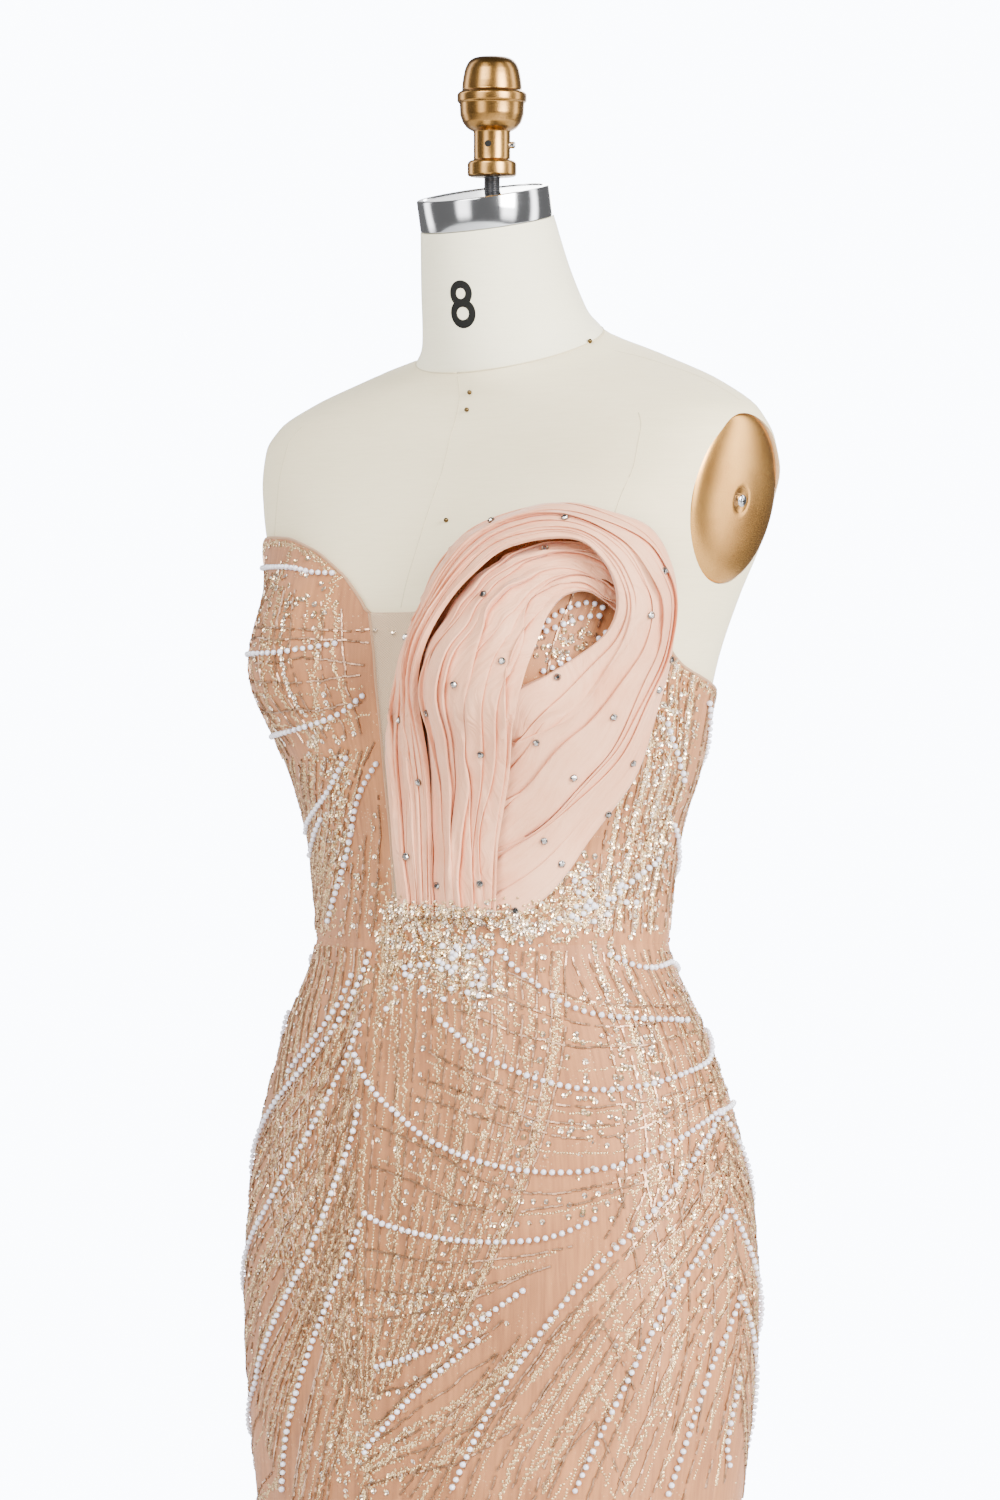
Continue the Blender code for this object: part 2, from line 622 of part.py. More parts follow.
def build_bodice(beaded, sheer):
    """Seven bodice panels: the plunging insert, two fronts, two sides and two backs."""
    seams = {
        "insert_right": lambda z: -plunge(z), "insert_left": plunge,
        "princess_left": lambda z: math.radians(PRINCESS_SEAM) + 0 * z,
        "side_left": lambda z: math.radians(SIDE_SEAM) + 0 * z,
        "centre_back": lambda z: math.radians(BACK_SEAM) + 0 * z,
        "princess_right": lambda z: -math.radians(PRINCESS_SEAM) + 0 * z,
        "side_right": lambda z: -math.radians(SIDE_SEAM) + 0 * z,
        "centre_back_right": lambda z: -math.radians(BACK_SEAM) + 0 * z,
    }
    panels = (
        ("plunge_insert", "insert_right", "insert_left", 13, 4, SHEER_MESH, sheer),
        ("bodice_front_left", "insert_left", "princess_left", 13, 12, BEADED_CLOTH, beaded),
        ("bodice_side_left", "princess_left", "side_left", 13, 6, BEADED_CLOTH, beaded),
        ("bodice_back_left", "side_left", "centre_back", 7, 13, BEADED_CLOTH, beaded),
        ("bodice_front_right", "princess_right", "insert_right", 13, 12, BEADED_CLOTH, beaded),
        ("bodice_side_right", "side_right", "princess_right", 13, 6, BEADED_CLOTH, beaded),
        ("bodice_back_right", "centre_back_right", "side_right", 7, 13, BEADED_CLOTH, beaded),
    )
    for name, left, right, rows, columns, thickness, material in panels:
        bodice_panel(name, seams[left], seams[right], rows, columns, thickness, material)


def build_skirt(beaded):
    """Skirt front and two backs, cut in one with the flare."""
    skirt_panel("skirt_front", -SIDE_SEAM, SIDE_SEAM, 31, beaded)
    skirt_panel("skirt_back_left", SIDE_SEAM, BACK_SEAM, 15, beaded)
    skirt_panel("skirt_back_right", -BACK_SEAM, -SIDE_SEAM, 15, beaded)


def build_rosette(chiffon):
    """The two pleated bands: the inner one tucks under the outer one, which wraps round below it."""
    pleated_band("rosette_outer_band", OUTER_BAND, OUTER_PLEATS, 31, chiffon)
    pleated_band("rosette_inner_band", INNER_BAND, INNER_PLEATS, 19, chiffon)


def zip_frame():
    """Frame on the bodice at the centre back: +Y out of the cloth, +Z up along it."""
    angle = np.array(math.radians(BACK_SEAM))
    z = np.array(SLIDER_Z)
    point = Vector(off_figure(angle, z, np.array(CLOTH_CLEARANCE + BEADED_CLOTH + SEAM_GAP)))
    out = Vector(figure_normal(angle, z))
    out.x = 0.0
    out.normalize()
    right = Vector((1.0, 0.0, 0.0))
    up = right.cross(out)
    axes = Matrix((right, out, up)).transposed().to_4x4()
    return Matrix.Translation(point) @ axes


def build_zip(metal):
    """The slider with two lugs and a pin, and the pull tab that hangs from the pin."""
    frame = zip_frame()
    slider_size = (SLIDER_WIDTH, SLIDER_THICKNESS, SLIDER_LENGTH)
    slider = box_tool("zip_slider", slider_size, (0, SLIDER_THICKNESS / 2, 0), frame, metal)
    inside = PULL_TOP_WIDTH / 2 + SEAM_GAP
    lug_height = PIN_HEIGHT + PIN_RADIUS * 2 - SLIDER_THICKNESS / 2
    for side in (1, -1):
        centre = (side * (inside + LUG_WIDTH / 2), SLIDER_THICKNESS / 2 + lug_height / 2, 0)
        size = (LUG_WIDTH, lug_height, LUG_LENGTH)
        cut(slider, box_tool("lug_%d" % side, size, centre, frame, metal), "UNION")
    across = Matrix.Rotation(math.pi / 2, 4, "Y")
    pin_frame = frame @ Matrix.Translation((0, PIN_HEIGHT, 0)) @ across
    reach = inside + LUG_WIDTH / 2
    pin = turned("slider_pin", ((PIN_RADIUS, -reach), (PIN_RADIUS, reach)), 16, metal, 40.0, pin_frame)
    cut(slider, pin, "UNION")

    pin_point = (frame @ Matrix.Translation((0, PIN_HEIGHT, 0))).translation
    hanging = Matrix.Translation(pin_point)
    half = PULL_TOP_WIDTH / 2
    eye_frame = hanging @ across
    pull = turned("zip_pull", ((EYE_RADIUS, -half), (EYE_RADIUS, half)), 20, metal, 40.0, eye_frame)
    blade_size = (PULL_TOP_WIDTH, PULL_THICKNESS, PULL_LENGTH)
    blade = box_tool("pull_blade", blade_size, (0, 0, -PIN_RADIUS * 2 - PULL_LENGTH / 2), hanging, metal)
    lowest = pin_point.z - PIN_RADIUS * 2 - PULL_LENGTH
    for vert in blade.data.vertices:
        if vert.co.z < lowest + PULL_LENGTH / 2:
            vert.co.x *= PULL_BOTTOM_WIDTH / PULL_TOP_WIDTH
    cut(pull, blade, "UNION")
    hole_radius = PIN_RADIUS + SEAM_GAP
    hole_ends = ((hole_radius, -PULL_TOP_WIDTH), (hole_radius, PULL_TOP_WIDTH))
    hole = turned("pull_hole", hole_ends, 16, metal, 40.0, eye_frame)
    cut(pull, hole)


def main():
    for thing in list(bpy.data.objects):
        bpy.data.objects.remove(thing)
    linen = make_material("linen", (0.82, 0.78, 0.70), 0.85)
    steel = make_material("brushed_steel", (0.62, 0.63, 0.64), 0.28, 1.0)
    gold = make_material("gold_paint", (0.62, 0.40, 0.16), 0.38, 0.8)
    dark = make_material("black_steel", (0.03, 0.03, 0.035), 0.45, 0.6)
    beaded = make_material("beaded_satin", (0.66, 0.42, 0.30), 0.50)
    sheer = make_material("sheer_mesh", (0.70, 0.48, 0.35), 0.60)
    chiffon = make_material("chiffon", (0.84, 0.56, 0.48), 0.70)
    zip_metal = make_material("zip_metal", (0.70, 0.60, 0.50), 0.30, 1.0)

    torso = build_torso(linen)
    build_neck(linen)
    build_neck_hardware(steel, dark, gold)
    build_arm_plates(torso, gold, steel)
    build_stand(steel, dark)
    build_bodice(beaded, sheer)
    build_skirt(beaded)
    build_rosette(chiffon)
    build_zip(zip_metal)


main()
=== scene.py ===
"""Looks of a strapless beaded evening gown on its limbless dress form.

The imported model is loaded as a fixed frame. Each sub-assembly below is a class that holds its own sizes, in
metres, builds its meshes on the frame's figure and dresses them. The gown faces -Y and its left side is +X.
An angle on the figure runs from the front (-Y) towards the left side (+X), in degrees in every table.
"""
import logging
import math
from dataclasses import dataclass
from enum import Enum
from typing import Any, Callable, Dict, List, Optional, Sequence, Tuple, Union

import bmesh
import bpy
import numpy as np
from mathutils import Matrix, Vector
from mathutils.bvhtree import BVHTree


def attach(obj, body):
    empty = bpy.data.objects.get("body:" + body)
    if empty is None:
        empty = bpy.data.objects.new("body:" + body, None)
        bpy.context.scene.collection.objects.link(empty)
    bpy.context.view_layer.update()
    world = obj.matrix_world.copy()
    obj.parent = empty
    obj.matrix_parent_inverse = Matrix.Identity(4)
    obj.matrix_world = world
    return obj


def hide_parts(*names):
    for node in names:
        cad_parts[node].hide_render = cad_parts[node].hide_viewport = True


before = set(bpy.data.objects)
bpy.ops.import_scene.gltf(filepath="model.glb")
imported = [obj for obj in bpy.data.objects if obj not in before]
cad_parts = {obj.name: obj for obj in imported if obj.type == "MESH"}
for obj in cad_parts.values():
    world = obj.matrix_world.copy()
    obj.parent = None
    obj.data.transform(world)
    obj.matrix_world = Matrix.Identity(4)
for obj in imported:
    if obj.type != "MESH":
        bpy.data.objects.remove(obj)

LOG = logging.getLogger("gown")
FORM_BODY = "dressed_form"

Place = Tuple[float, float]
Colour = Tuple[float, float, float]
Grid = np.ndarray


# Shader maths


class Kind(Enum):
    """What a socket carries."""

    VALUE = "value"
    VECTOR = "vector"
    COLOUR = "colour"


def operator(operation: str, swapped: bool = False) -> Callable[["Signal", Any], "Signal"]:
    """A method that joins a signal and another operand, which comes first when swapped."""
    return lambda self, other: self.join(operation, other, swapped)


class Signal:
    """A socket of a node tree that takes part in expressions."""

    __add__, __radd__ = operator("ADD"), operator("ADD", True)
    __sub__, __rsub__ = operator("SUBTRACT"), operator("SUBTRACT", True)
    __mul__, __rmul__ = operator("MULTIPLY"), operator("MULTIPLY", True)

    def __init__(self, graph: "Graph", socket: bpy.types.NodeSocket, kind: Kind = Kind.VALUE) -> None:
        """Wrap one output socket of a graph's node."""
        self.graph, self.socket, self.kind = graph, socket, kind

    def join(self, operation: str, other: Any, swapped: bool = False) -> "Signal":
        """Add the node for one operator.

        Args:
            operation: name of the Math or Vector Math operation.
            other: the other operand, a number, a vector or a signal.
            swapped: whether the other operand comes first.

        Returns:
            The result, a vector where either operand is one.
        """
        kinds = (self.kind, getattr(other, "kind", Kind.VALUE))
        if Kind.COLOUR in kinds:
            raise TypeError("colours are blended with mix")
        vector = Kind.VECTOR in kinds or isinstance(other, tuple)
        pair = (other, self) if swapped else (self, other)
        kind, carries = ("ShaderNodeVectorMath", Kind.VECTOR) if vector else ("ShaderNodeMath", Kind.VALUE)
        return self.graph.signal(kind, {"operation": operation}, dict(enumerate(pair)), carries=carries)

    def call(self, operation: str, other: float = 0.0) -> "Signal":
        """A Math function of this value, such as SINE."""
        return self.join(operation, other)

    def rise(self, low: float, high: float) -> "Signal":
        """A smooth 0 to 1 rise from a low value to a high one."""
        sockets = {"Value": self, "From Min": low, "From Max": high}
        settings = {"interpolation_type": "SMOOTHSTEP"}
        return self.graph.signal("ShaderNodeMapRange", settings, sockets, "Result")


class Graph:
    """Adds nodes to one node tree."""

    def __init__(self, tree: bpy.types.NodeTree) -> None:
        """Keep the tree."""
        self.tree = tree

    def node(self, kind: str, settings: Optional[Dict[str, Any]] = None,
             inputs: Optional[Dict[Union[str, int], Any]] = None) -> bpy.types.Node:
        """Add a node.

        Args:
            kind: the node's type.
            settings: its properties, set first.
            inputs: values or signals for its sockets.

        Returns:
            The node.
        """
        made = self.tree.nodes.new(kind)
        for key, value in (settings or {}).items():
            setattr(made, key, value)
        for key, value in (inputs or {}).items():
            self.feed(made.inputs[key], value)
        return made

    def feed(self, socket: bpy.types.NodeSocket, value: Any) -> None:
        """Link a signal to a socket, or set its constant.

        Args:
            socket: the input socket.
            value: a signal, number, colour or vector.
        """
        if isinstance(value, Signal):
            self.tree.links.new(value.socket, socket)
        elif isinstance(value, tuple) and len(value) == 3 and socket.type == "RGBA":
            socket.default_value = (*value, 1.0)
        else:
            socket.default_value = value

    def signal(self, kind: str, settings: Optional[Dict[str, Any]] = None,
               inputs: Optional[Dict[Union[str, int], Any]] = None, output: Union[str, int] = 0,
               carries: Kind = Kind.VALUE) -> Signal:
        """Add a node as above and give one of its outputs as a signal."""
        return Signal(self, self.node(kind, settings, inputs).outputs[output], carries)

    def mix(self, share: Any, one: Any, other: Any) -> Signal:
        """Blend from one colour to another by a share from 0 to 1."""
        return self.signal("ShaderNodeMix", {"data_type": "RGBA"}, {"Factor": share, 6: one, 7: other}, 2,
                           Kind.COLOUR)

    def place(self, source: str = "Object") -> Signal:
        """The point's own coordinates, from the object or from its flat pattern (UV)."""
        return self.signal("ShaderNodeTexCoord", output=source, carries=Kind.VECTOR)

    def axis(self, vector: Signal, name: str) -> Signal:
        """One component of a vector, X, Y or Z."""
        return self.signal("ShaderNodeSeparateXYZ", None, {0: vector}, name)

    def noise(self, at: Signal, scale: float, detail: float = 2.0, roughness: float = 0.5) -> Signal:
        """Cloudy noise from 0 to 1, at a scale of lumps to the metre and with octaves of detail."""
        sockets = {"Vector": at, "Scale": scale, "Detail": detail, "Roughness": roughness}
        return self.signal("ShaderNodeTexNoise", {"noise_dimensions": "3D"}, sockets)

    def cells(self, at: Signal, scale: float) -> Signal:
        """Distance to the nearest middle in a field of cells, at a scale of cells to the metre."""
        sockets = {"Vector": at, "Scale": scale}
        return self.signal("ShaderNodeTexVoronoi", {"feature": "F1"}, sockets, "Distance")

    def threads(self, at: Signal, pitch: float) -> Signal:
        """Height of a plain weave: crossing rounded threads.

        Args:
            at: coordinates whose X and Y lie in the cloth, in metres.
            pitch: spacing of the threads in metres.

        Returns:
            A value from 0 in the gaps to 1 on the threads.
        """
        turn = 2 * math.pi / pitch
        warp, weft = ((self.axis(at, name) * turn).call("SINE") for name in "XY")
        return (warp * weft) * 0.5 + 0.5

    def bump(self, height: Signal, depth: float, strength: float = 1.0,
             below: Optional[Signal] = None) -> Signal:
        """A bumped normal.

        Args:
            height: relief from 0 to 1.
            depth: its real depth in metres.
            strength: share of the relief that shows.
            below: a coarser bump under this one.

        Returns:
            The normal.
        """
        sockets: Dict[Union[str, int], Any] = {"Height": height, "Distance": depth, "Strength": strength}
        if below is not None:
            sockets["Normal"] = below
        return self.signal("ShaderNodeBump", None, sockets, carries=Kind.VECTOR)


class Paint(Graph):
    """Builds one procedural material on a Principled shader."""

    def __init__(self, name: str) -> None:
        """Start an empty material of this name."""
        self.material = bpy.data.materials.new(name)
        self.material.use_nodes = True
        super().__init__(self.material.node_tree)
        self.shader = self.tree.nodes["Principled BSDF"]

    def finish(self, **sockets: Any) -> bpy.types.Material:
        """Set the shader's own sockets and give the material.

        Args:
            sockets: values or signals, named as the sockets with _ for a space.

        Returns:
            The finished material.
        """
        for key, value in sockets.items():
            self.feed(self.shader.inputs[key.replace("_", " ")], value)
        return self.material


# Finishes


@dataclass(frozen=True)
class Linen:
    """Smooth cream linen jersey over padding."""

    cream: Colour = (0.85, 0.745, 0.49)
    shade: Colour = (0.79, 0.68, 0.43)
    thread_pitch: float = 0.0011
    thread_depth: float = 0.00007

    def make(self) -> bpy.types.Material:
        """Build the material."""
        paint = Paint("cream_linen")
        at = paint.place()
        cloud = paint.noise(at, 9.0, 3.0)
        slub = paint.noise(at * (1.0, 1.0, 14.0), 60.0, 2.0)
        x, y, z = (paint.axis(at, name) for name in "XYZ")
        turn = 2 * math.pi / self.thread_pitch
        weave = ((x + y) * turn).call("SINE") * (z * turn).call("SINE")
        colour = paint.mix((cloud * 0.6 + slub * 0.5).rise(0.3, 0.85), self.cream, self.shade)
        normal = paint.bump(weave * 0.5 + slub, self.thread_depth, 0.5)
        return paint.finish(Base_Color=colour, Roughness=0.86 + slub * 0.08, Normal=normal,
                            Sheen_Weight=0.25, Sheen_Roughness=0.45, Specular_IOR_Level=0.25)


@dataclass(frozen=True)
class NudeSatin:
    """Nude satin under fine net, with painted glints: bright gold flecks for beads too small to model."""

    nude: Colour = (0.475, 0.192, 0.07)
    deep: Colour = (0.27, 0.102, 0.038)
    # Bright gold of the painted glints
    glint_gold: Colour = (0.86, 0.58, 0.28)
    net_pitch: float = 0.0014
    net_depth: float = 0.00012

    def make(self) -> bpy.types.Material:
        """Build the material."""
        paint = Paint("nude_satin_under_net")
        at = paint.place("UV")
        body = paint.place()
        cloud = paint.noise(body, 14.0, 3.0)
        rows = paint.noise(at * (1.0, 0.07, 1.0), 260.0, 2.0, 0.6)
        net = paint.threads(at, self.net_pitch)
        fleck = paint.cells(at, 430.0)
        glint = (1 - fleck.rise(0.1, 0.24)) * paint.noise(body, 70.0, 1.0).rise(0.5, 0.64)
        shade = (rows * 0.75 + cloud * 0.45 + (1 - net) * 0.12).rise(0.38, 0.95)
        colour = paint.mix(shade, self.nude, self.deep)
        # Painted glint: the tiny beads' gold is their own, but the bright flecks stand in for their sparkle.
        colour = paint.mix(glint * 0.55, colour, self.glint_gold)
        relief = net * 0.5 + glint * 1.4 + rows * 0.3
        normal = paint.bump(relief, self.net_depth, 0.55)
        return paint.finish(Base_Color=colour, Roughness=0.56 - glint * 0.25 + cloud * 0.08, Normal=normal,
                            Sheen_Weight=0.2, Sheen_Roughness=0.4, Specular_IOR_Level=0.35)


@dataclass(frozen=True)
class SheerMesh:
    """Sheer nude mesh of the plunge, nearly clear over the linen."""

    thread: Colour = (0.64, 0.45, 0.28)
    cell_pitch: float = 0.0016
    cover: float = 0.36

    def make(self) -> bpy.types.Material:
        """Build the material."""
        paint = Paint("sheer_mesh")
        at = paint.place("UV")
        net = paint.threads(at, self.cell_pitch)
        cloud = paint.noise(at, 30.0, 2.0)
        tone = paint.mix(cloud * 0.5, self.thread, (0.62, 0.46, 0.3))
        normal = paint.bump(net, 0.00008, 0.6)
        return paint.finish(Base_Color=tone, Roughness=0.7, Alpha=self.cover + net * 0.18, Normal=normal)


@dataclass(frozen=True)
class Chiffon:
    """Blush crinkle chiffon with a soft crepe grain."""

    blush: Colour = (0.83, 0.445, 0.27)
    rose: Colour = (0.7, 0.3, 0.16)
    thread_pitch: float = 0.0009
    thread_depth: float = 0.00009
    crinkle_depth: float = 0.0016

    def make(self) -> bpy.types.Material:
        """Build the material."""
        paint = Paint("blush_chiffon")
        at = paint.place("UV")
        body = paint.place()
        crepe = paint.noise(at * (1.0, 0.35, 1.0), 620.0, 3.0, 0.6)
        cloud = paint.noise(body, 26.0, 2.0)
        weave = paint.threads(at, self.thread_pitch)
        crinkle = paint.noise(at * (1.0, 0.05, 1.0), 230.0, 2.0, 0.55)
        shade = (cloud * 0.6 + crepe * 0.25 + crinkle * 0.3).rise(0.35, 0.9)
        colour = paint.mix(shade, self.blush, self.rose)
        broad = paint.bump(crinkle, self.crinkle_depth, 0.8)
        normal = paint.bump(crepe * 0.8 + weave * 0.3, self.thread_depth, 0.6, broad)
        return paint.finish(Base_Color=colour, Roughness=0.78 + crepe * 0.1, Normal=normal,
                            Sheen_Weight=0.25, Sheen_Roughness=0.35, Specular_IOR_Level=0.2)


@dataclass(frozen=True)
class Lustre:
    """A bright bead, sequin or stone finish with a little change from one to the next."""

    name: str
    main: Colour
    second: Colour
    roughness: float
    metallic: float
    coat: float = 0.0
    patch: float = 240.0

    def make(self) -> bpy.types.Material:
        """Build the material."""
        paint = Paint(self.name)
        body = paint.place()
        tone = paint.noise(body, self.patch, 1.0)
        grain = paint.noise(body, 1500.0, 1.0)
        colour = paint.mix(tone.rise(0.36, 0.64), self.main, self.second)
        rough = self.roughness * (0.75 + grain * 0.5)
        normal = paint.bump(grain, 0.00004, 0.25)
        return paint.finish(Base_Color=colour, Roughness=rough, Metallic=self.metallic, Normal=normal,
                            Coat_Weight=self.coat, Coat_Roughness=0.12)


@dataclass(frozen=True)
class TurnedSteel:
    """Steel with fine turning marks round its axis."""

    name: str
    tone: Colour
    roughness: float
    marks: float = 900.0

    def make(self) -> bpy.types.Material:
        """Build the material."""
        paint = Paint(self.name)
        body = paint.place()
        fine = paint.noise(body * (0.05, 0.05, 1.0), self.marks, 2.0)
        smear = paint.noise(body, 40.0, 2.0)
        colour = paint.mix(smear * 0.4, self.tone, tuple(0.82 * part for part in self.tone))
        normal = paint.bump(fine, 0.00003, 0.35)
        return paint.finish(Base_Color=colour, Roughness=self.roughness * (0.8 + fine * 0.5), Metallic=1.0,
                            Normal=normal)


@dataclass(frozen=True)
class GoldPaint:
    """Satin gold, with fine speckle, slightly darker patches and painted shade on the top above a height."""

    name: str = "satin_gold_paint"
    gold: Colour = (0.68, 0.355, 0.1)
    warm: Colour = (0.47, 0.225, 0.06)
    # Height from which painted shade darkens the top; the default lies above everything
    dark_from: float = 9.0

    def make(self) -> bpy.types.Material:
        """Build the material."""
        paint = Paint(self.name)
        body = paint.place()
        cloud = paint.noise(body, 22.0, 3.0)
        speckle = paint.noise(body, 2600.0, 2.0)
        colour = paint.mix((cloud * 0.8 + speckle * 0.3).rise(0.35, 0.85), self.gold, self.warm)
        # Painted shade: the colour darkens over the 2 cm above dark_from.
        painted_top_shade = paint.axis(body, "Z").rise(self.dark_from, self.dark_from + 0.02) * 0.75
        colour = paint.mix(painted_top_shade, colour, tuple(0.25 * part for part in self.warm))
        normal = paint.bump(speckle, 0.00003, 0.35)
        return paint.finish(Base_Color=colour, Roughness=0.22 + speckle * 0.1, Metallic=1.0, Normal=normal)


@dataclass(frozen=True)
class Enamel:
    """Dark enamel or ink with a faint orange-peel."""

    name: str
    tone: Colour
    roughness: float
    metallic: float = 0.0
    shine: float = 0.5

    def make(self) -> bpy.types.Material:
        """Build the material."""
        paint = Paint(self.name)
        body = paint.place()
        peel = paint.noise(body, 700.0, 2.0)
        wear = paint.noise(body, 18.0, 3.0)
        colour = paint.mix(wear.rise(0.45, 0.8), self.tone, tuple(1.6 * part for part in self.tone))
        normal = paint.bump(peel, 0.00004, 0.3)
        return paint.finish(Base_Color=colour, Roughness=self.roughness + wear * 0.12, Normal=normal,
                            Metallic=self.metallic, Specular_IOR_Level=self.shine)


class Wardrobe:
    """Every finish, made once."""

    def __init__(self) -> None:
        """Make the materials."""
        self.linen = Linen().make()
        # The neck's cover is a lighter, paler copy of the torso's linen: painted light, for a neck that takes
        # more light than the chest.
        self.painted_light_neck_linen = Linen(cream=(0.88, 0.825, 0.61), shade=(0.83, 0.77, 0.55)).make()
        self.welt = Linen(cream=(0.66, 0.57, 0.36), shade=(0.58, 0.49, 0.3)).make()
        self.satin = NudeSatin().make()
        self.binding = Linen(cream=(0.46, 0.27, 0.15), shade=(0.38, 0.21, 0.11)).make()
        self.mesh = SheerMesh().make()
        self.chiffon = Chiffon().make()
        self.pearl = Lustre("pearl", (0.82, 0.8, 0.85), (0.72, 0.68, 0.74), 0.2, 0.0, 0.8).make()
        self.seed = Lustre("champagne_seed", (0.74, 0.5, 0.24), (0.46, 0.28, 0.125), 0.2, 0.6,
                           0.4).make()
        self.bronze = Lustre("bronze_bead", (0.41, 0.225, 0.12), (0.25, 0.13, 0.066), 0.26, 0.5,
                             0.3).make()
        self.sequin = Lustre("iridescent_sequin", (0.82, 0.57, 0.28), (0.82, 0.68, 0.54), 0.13, 0.85,
                             0.5).make()
        self.stone = Lustre("cut_stone", (0.52, 0.5, 0.47), (0.22, 0.21, 0.2), 0.03, 1.0, 1.0,
                            900.0).make()
        self.setting = TurnedSteel("stone_setting", (0.2, 0.175, 0.15), 0.26).make()
        self.steel = TurnedSteel("polished_steel", (0.6, 0.604, 0.61), 0.11).make()
        self.brushed = TurnedSteel("brushed_steel", (0.6, 0.61, 0.62), 0.28).make()
        self.brass = TurnedSteel("brass_pin", (0.11, 0.072, 0.03), 0.14).make()
        self.zip_metal = TurnedSteel("zip_metal", (0.72, 0.6, 0.48), 0.26).make()
        self.gold = GoldPaint().make()
        # The finial's gold is a darker copy of the plates' gold, painted shade; from 1.652 m up its top
        # carries more painted shade.
        self.finial_shade_gold = GoldPaint("painted_shade_gold_finial", (0.4, 0.222, 0.068), (0.3, 0.15, 0.04), 1.652).make()
        self.black = Enamel("black_steel", (0.02, 0.02, 0.022), 0.34, 0.5).make()
        # Black ink for the printed numeral, and painted shade for the screw slots and the stem's hole.
        self.ink = Enamel("black_ink_and_painted_shade", (0.007, 0.007, 0.006), 0.6, shine=0.15).make()


# Numbers and meshes


def smooth_curve(xs: Sequence[float], ys: Sequence[float], at: Any) -> Grid:
    """Monotone cubic through points.

    Args:
        xs: rising positions.
        ys: values at them.
        at: where to read it.

    Returns:
        The values read.
    """
    xs, ys = np.asarray(xs, float), np.asarray(ys, float)
    at = np.clip(at, xs[0], xs[-1])
    steps = np.diff(xs)
    slopes = np.diff(ys) / steps
    product = slopes[:-1] * slopes[1:]
    tangents = np.zeros_like(ys)
    tangents[1:-1] = np.where(product > 0, 2 * product / (slopes[:-1] + slopes[1:] + 1e-15), 0.0)
    tangents[0], tangents[-1] = slopes[0], slopes[-1]
    i = np.clip(np.searchsorted(xs, at) - 1, 0, len(steps) - 1)
    t, h = (at - xs[i]) / steps[i], steps[i]
    rise = (2 * t**3 - 3 * t**2 + 1) * ys[i] + (3 * t**2 - 2 * t**3) * ys[i + 1]
    return rise + (t**3 - 2 * t**2 + t) * h * tangents[i] + (t**3 - t**2) * h * tangents[i + 1]


def smooth_step(x: Any) -> Grid:
    """0 below 0, 1 above 1, and a smooth rise between."""
    x = np.clip(x, 0.0, 1.0)
    return x * x * (3 - 2 * x)


def unit(vectors: Grid) -> Grid:
    """Vectors scaled to length 1."""
    return vectors / (np.linalg.norm(vectors, axis=-1, keepdims=True) + 1e-12)


def run_along(line: Grid) -> Grid:
    """Length along a line of points, from 0 at the first."""
    return np.concatenate([[0], np.cumsum(np.linalg.norm(np.diff(line, axis=0), axis=-1))])


def through(rows: Sequence[Sequence[float]], samples: int) -> Grid:
    """Rows of a table read at even steps of a smooth curve through them.

    Args:
        rows: the table.
        samples: number of steps.

    Returns:
        The read rows.
    """
    rows = np.array(rows, float)
    ends = np.vstack([2 * rows[0] - rows[1], rows, 2 * rows[-1] - rows[-2]])
    position = np.linspace(0, len(rows) - 1, samples)
    i = np.clip(position.astype(int), 0, len(rows) - 2)
    t = (position - i)[:, None]
    p0, p1, p2, p3 = (ends[i + k] for k in range(4))
    return 0.5 * (
        2 * p1 + (p2 - p0) * t + (2 * p0 - 5 * p1 + 4 * p2 - p3) * t**2 + (3 * p1 - p0 - 3 * p2 + p3) * t**3
    )


def add_piece(name: str, points: Grid, faces: List[Any], material: bpy.types.Material,
              flat_pattern: Optional[Grid] = None, sharp: float = 180.0,
              turn_out: bool = False) -> bpy.types.Object:
    """Make a mesh piece that rides on the dressed form.

    Args:
        name: the piece's name.
        points: its vertices.
        faces: its faces, as vertex numbers.
        material: its finish.
        flat_pattern: UV of each vertex in metres.
        sharp: edges bent by more degrees than this stay crisp.
        turn_out: whether to turn all faces outwards.

    Returns:
        The object.
    """
    mesh = bpy.data.meshes.new(name)
    mesh.from_pydata(np.asarray(points, float).reshape(-1, 3).tolist(), [], faces)
    if turn_out:
        data = bmesh.new()
        data.from_mesh(mesh)
        bmesh.ops.recalc_face_normals(data, faces=data.faces)
        data.to_mesh(mesh)
        data.free()
    mesh.shade_smooth()
    if sharp < 180.0:
        mesh.set_sharp_from_angle(angle=math.radians(sharp))
    if flat_pattern is not None:
        corners = np.empty(len(mesh.loops), int)
        mesh.loops.foreach_get("vertex_index", corners)
        layer = mesh.uv_layers.new(name="pattern")
        layer.data.foreach_set("uv", np.asarray(flat_pattern, float).reshape(-1, 2)[corners].ravel())
    mesh.materials.append(material)
    piece = bpy.data.objects.new(name, mesh)
    bpy.context.scene.collection.objects.link(piece)
    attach(piece, FORM_BODY)
    LOG.info("%s: %d triangles", name, sum(len(face) - 2 for face in faces))
    return piece


def grid_faces(rows: int, columns: int, start: int = 0, closed: bool = False) -> List[Tuple[int, ...]]:
    """Quads of a grid of vertices.

    Args:
        rows: rows of vertices.
        columns: vertices in a row.
        start: number of the first vertex.
        closed: whether each row is a ring.

    Returns:
        The faces, facing the side on which rows rise and columns run to the right.
    """
    across = columns if closed else columns - 1
    faces = []
    for i in range(rows - 1):
        for j in range(across):
            k = (j + 1) % columns
            low, high = start + i * columns, start + (i + 1) * columns
            faces.append((low + j, low + k, high + k, high + j))
    return faces


def barrel_faces(rows: int, columns: int) -> List[Tuple[int, ...]]:
    """Faces of a closed barrel: rings of quads with a cap at each end."""
    last = (rows - 1) * columns
    caps = [tuple(range(columns - 1, -1, -1)), tuple(range(last, last + columns))]
    return grid_faces(rows, columns, 0, True) + caps


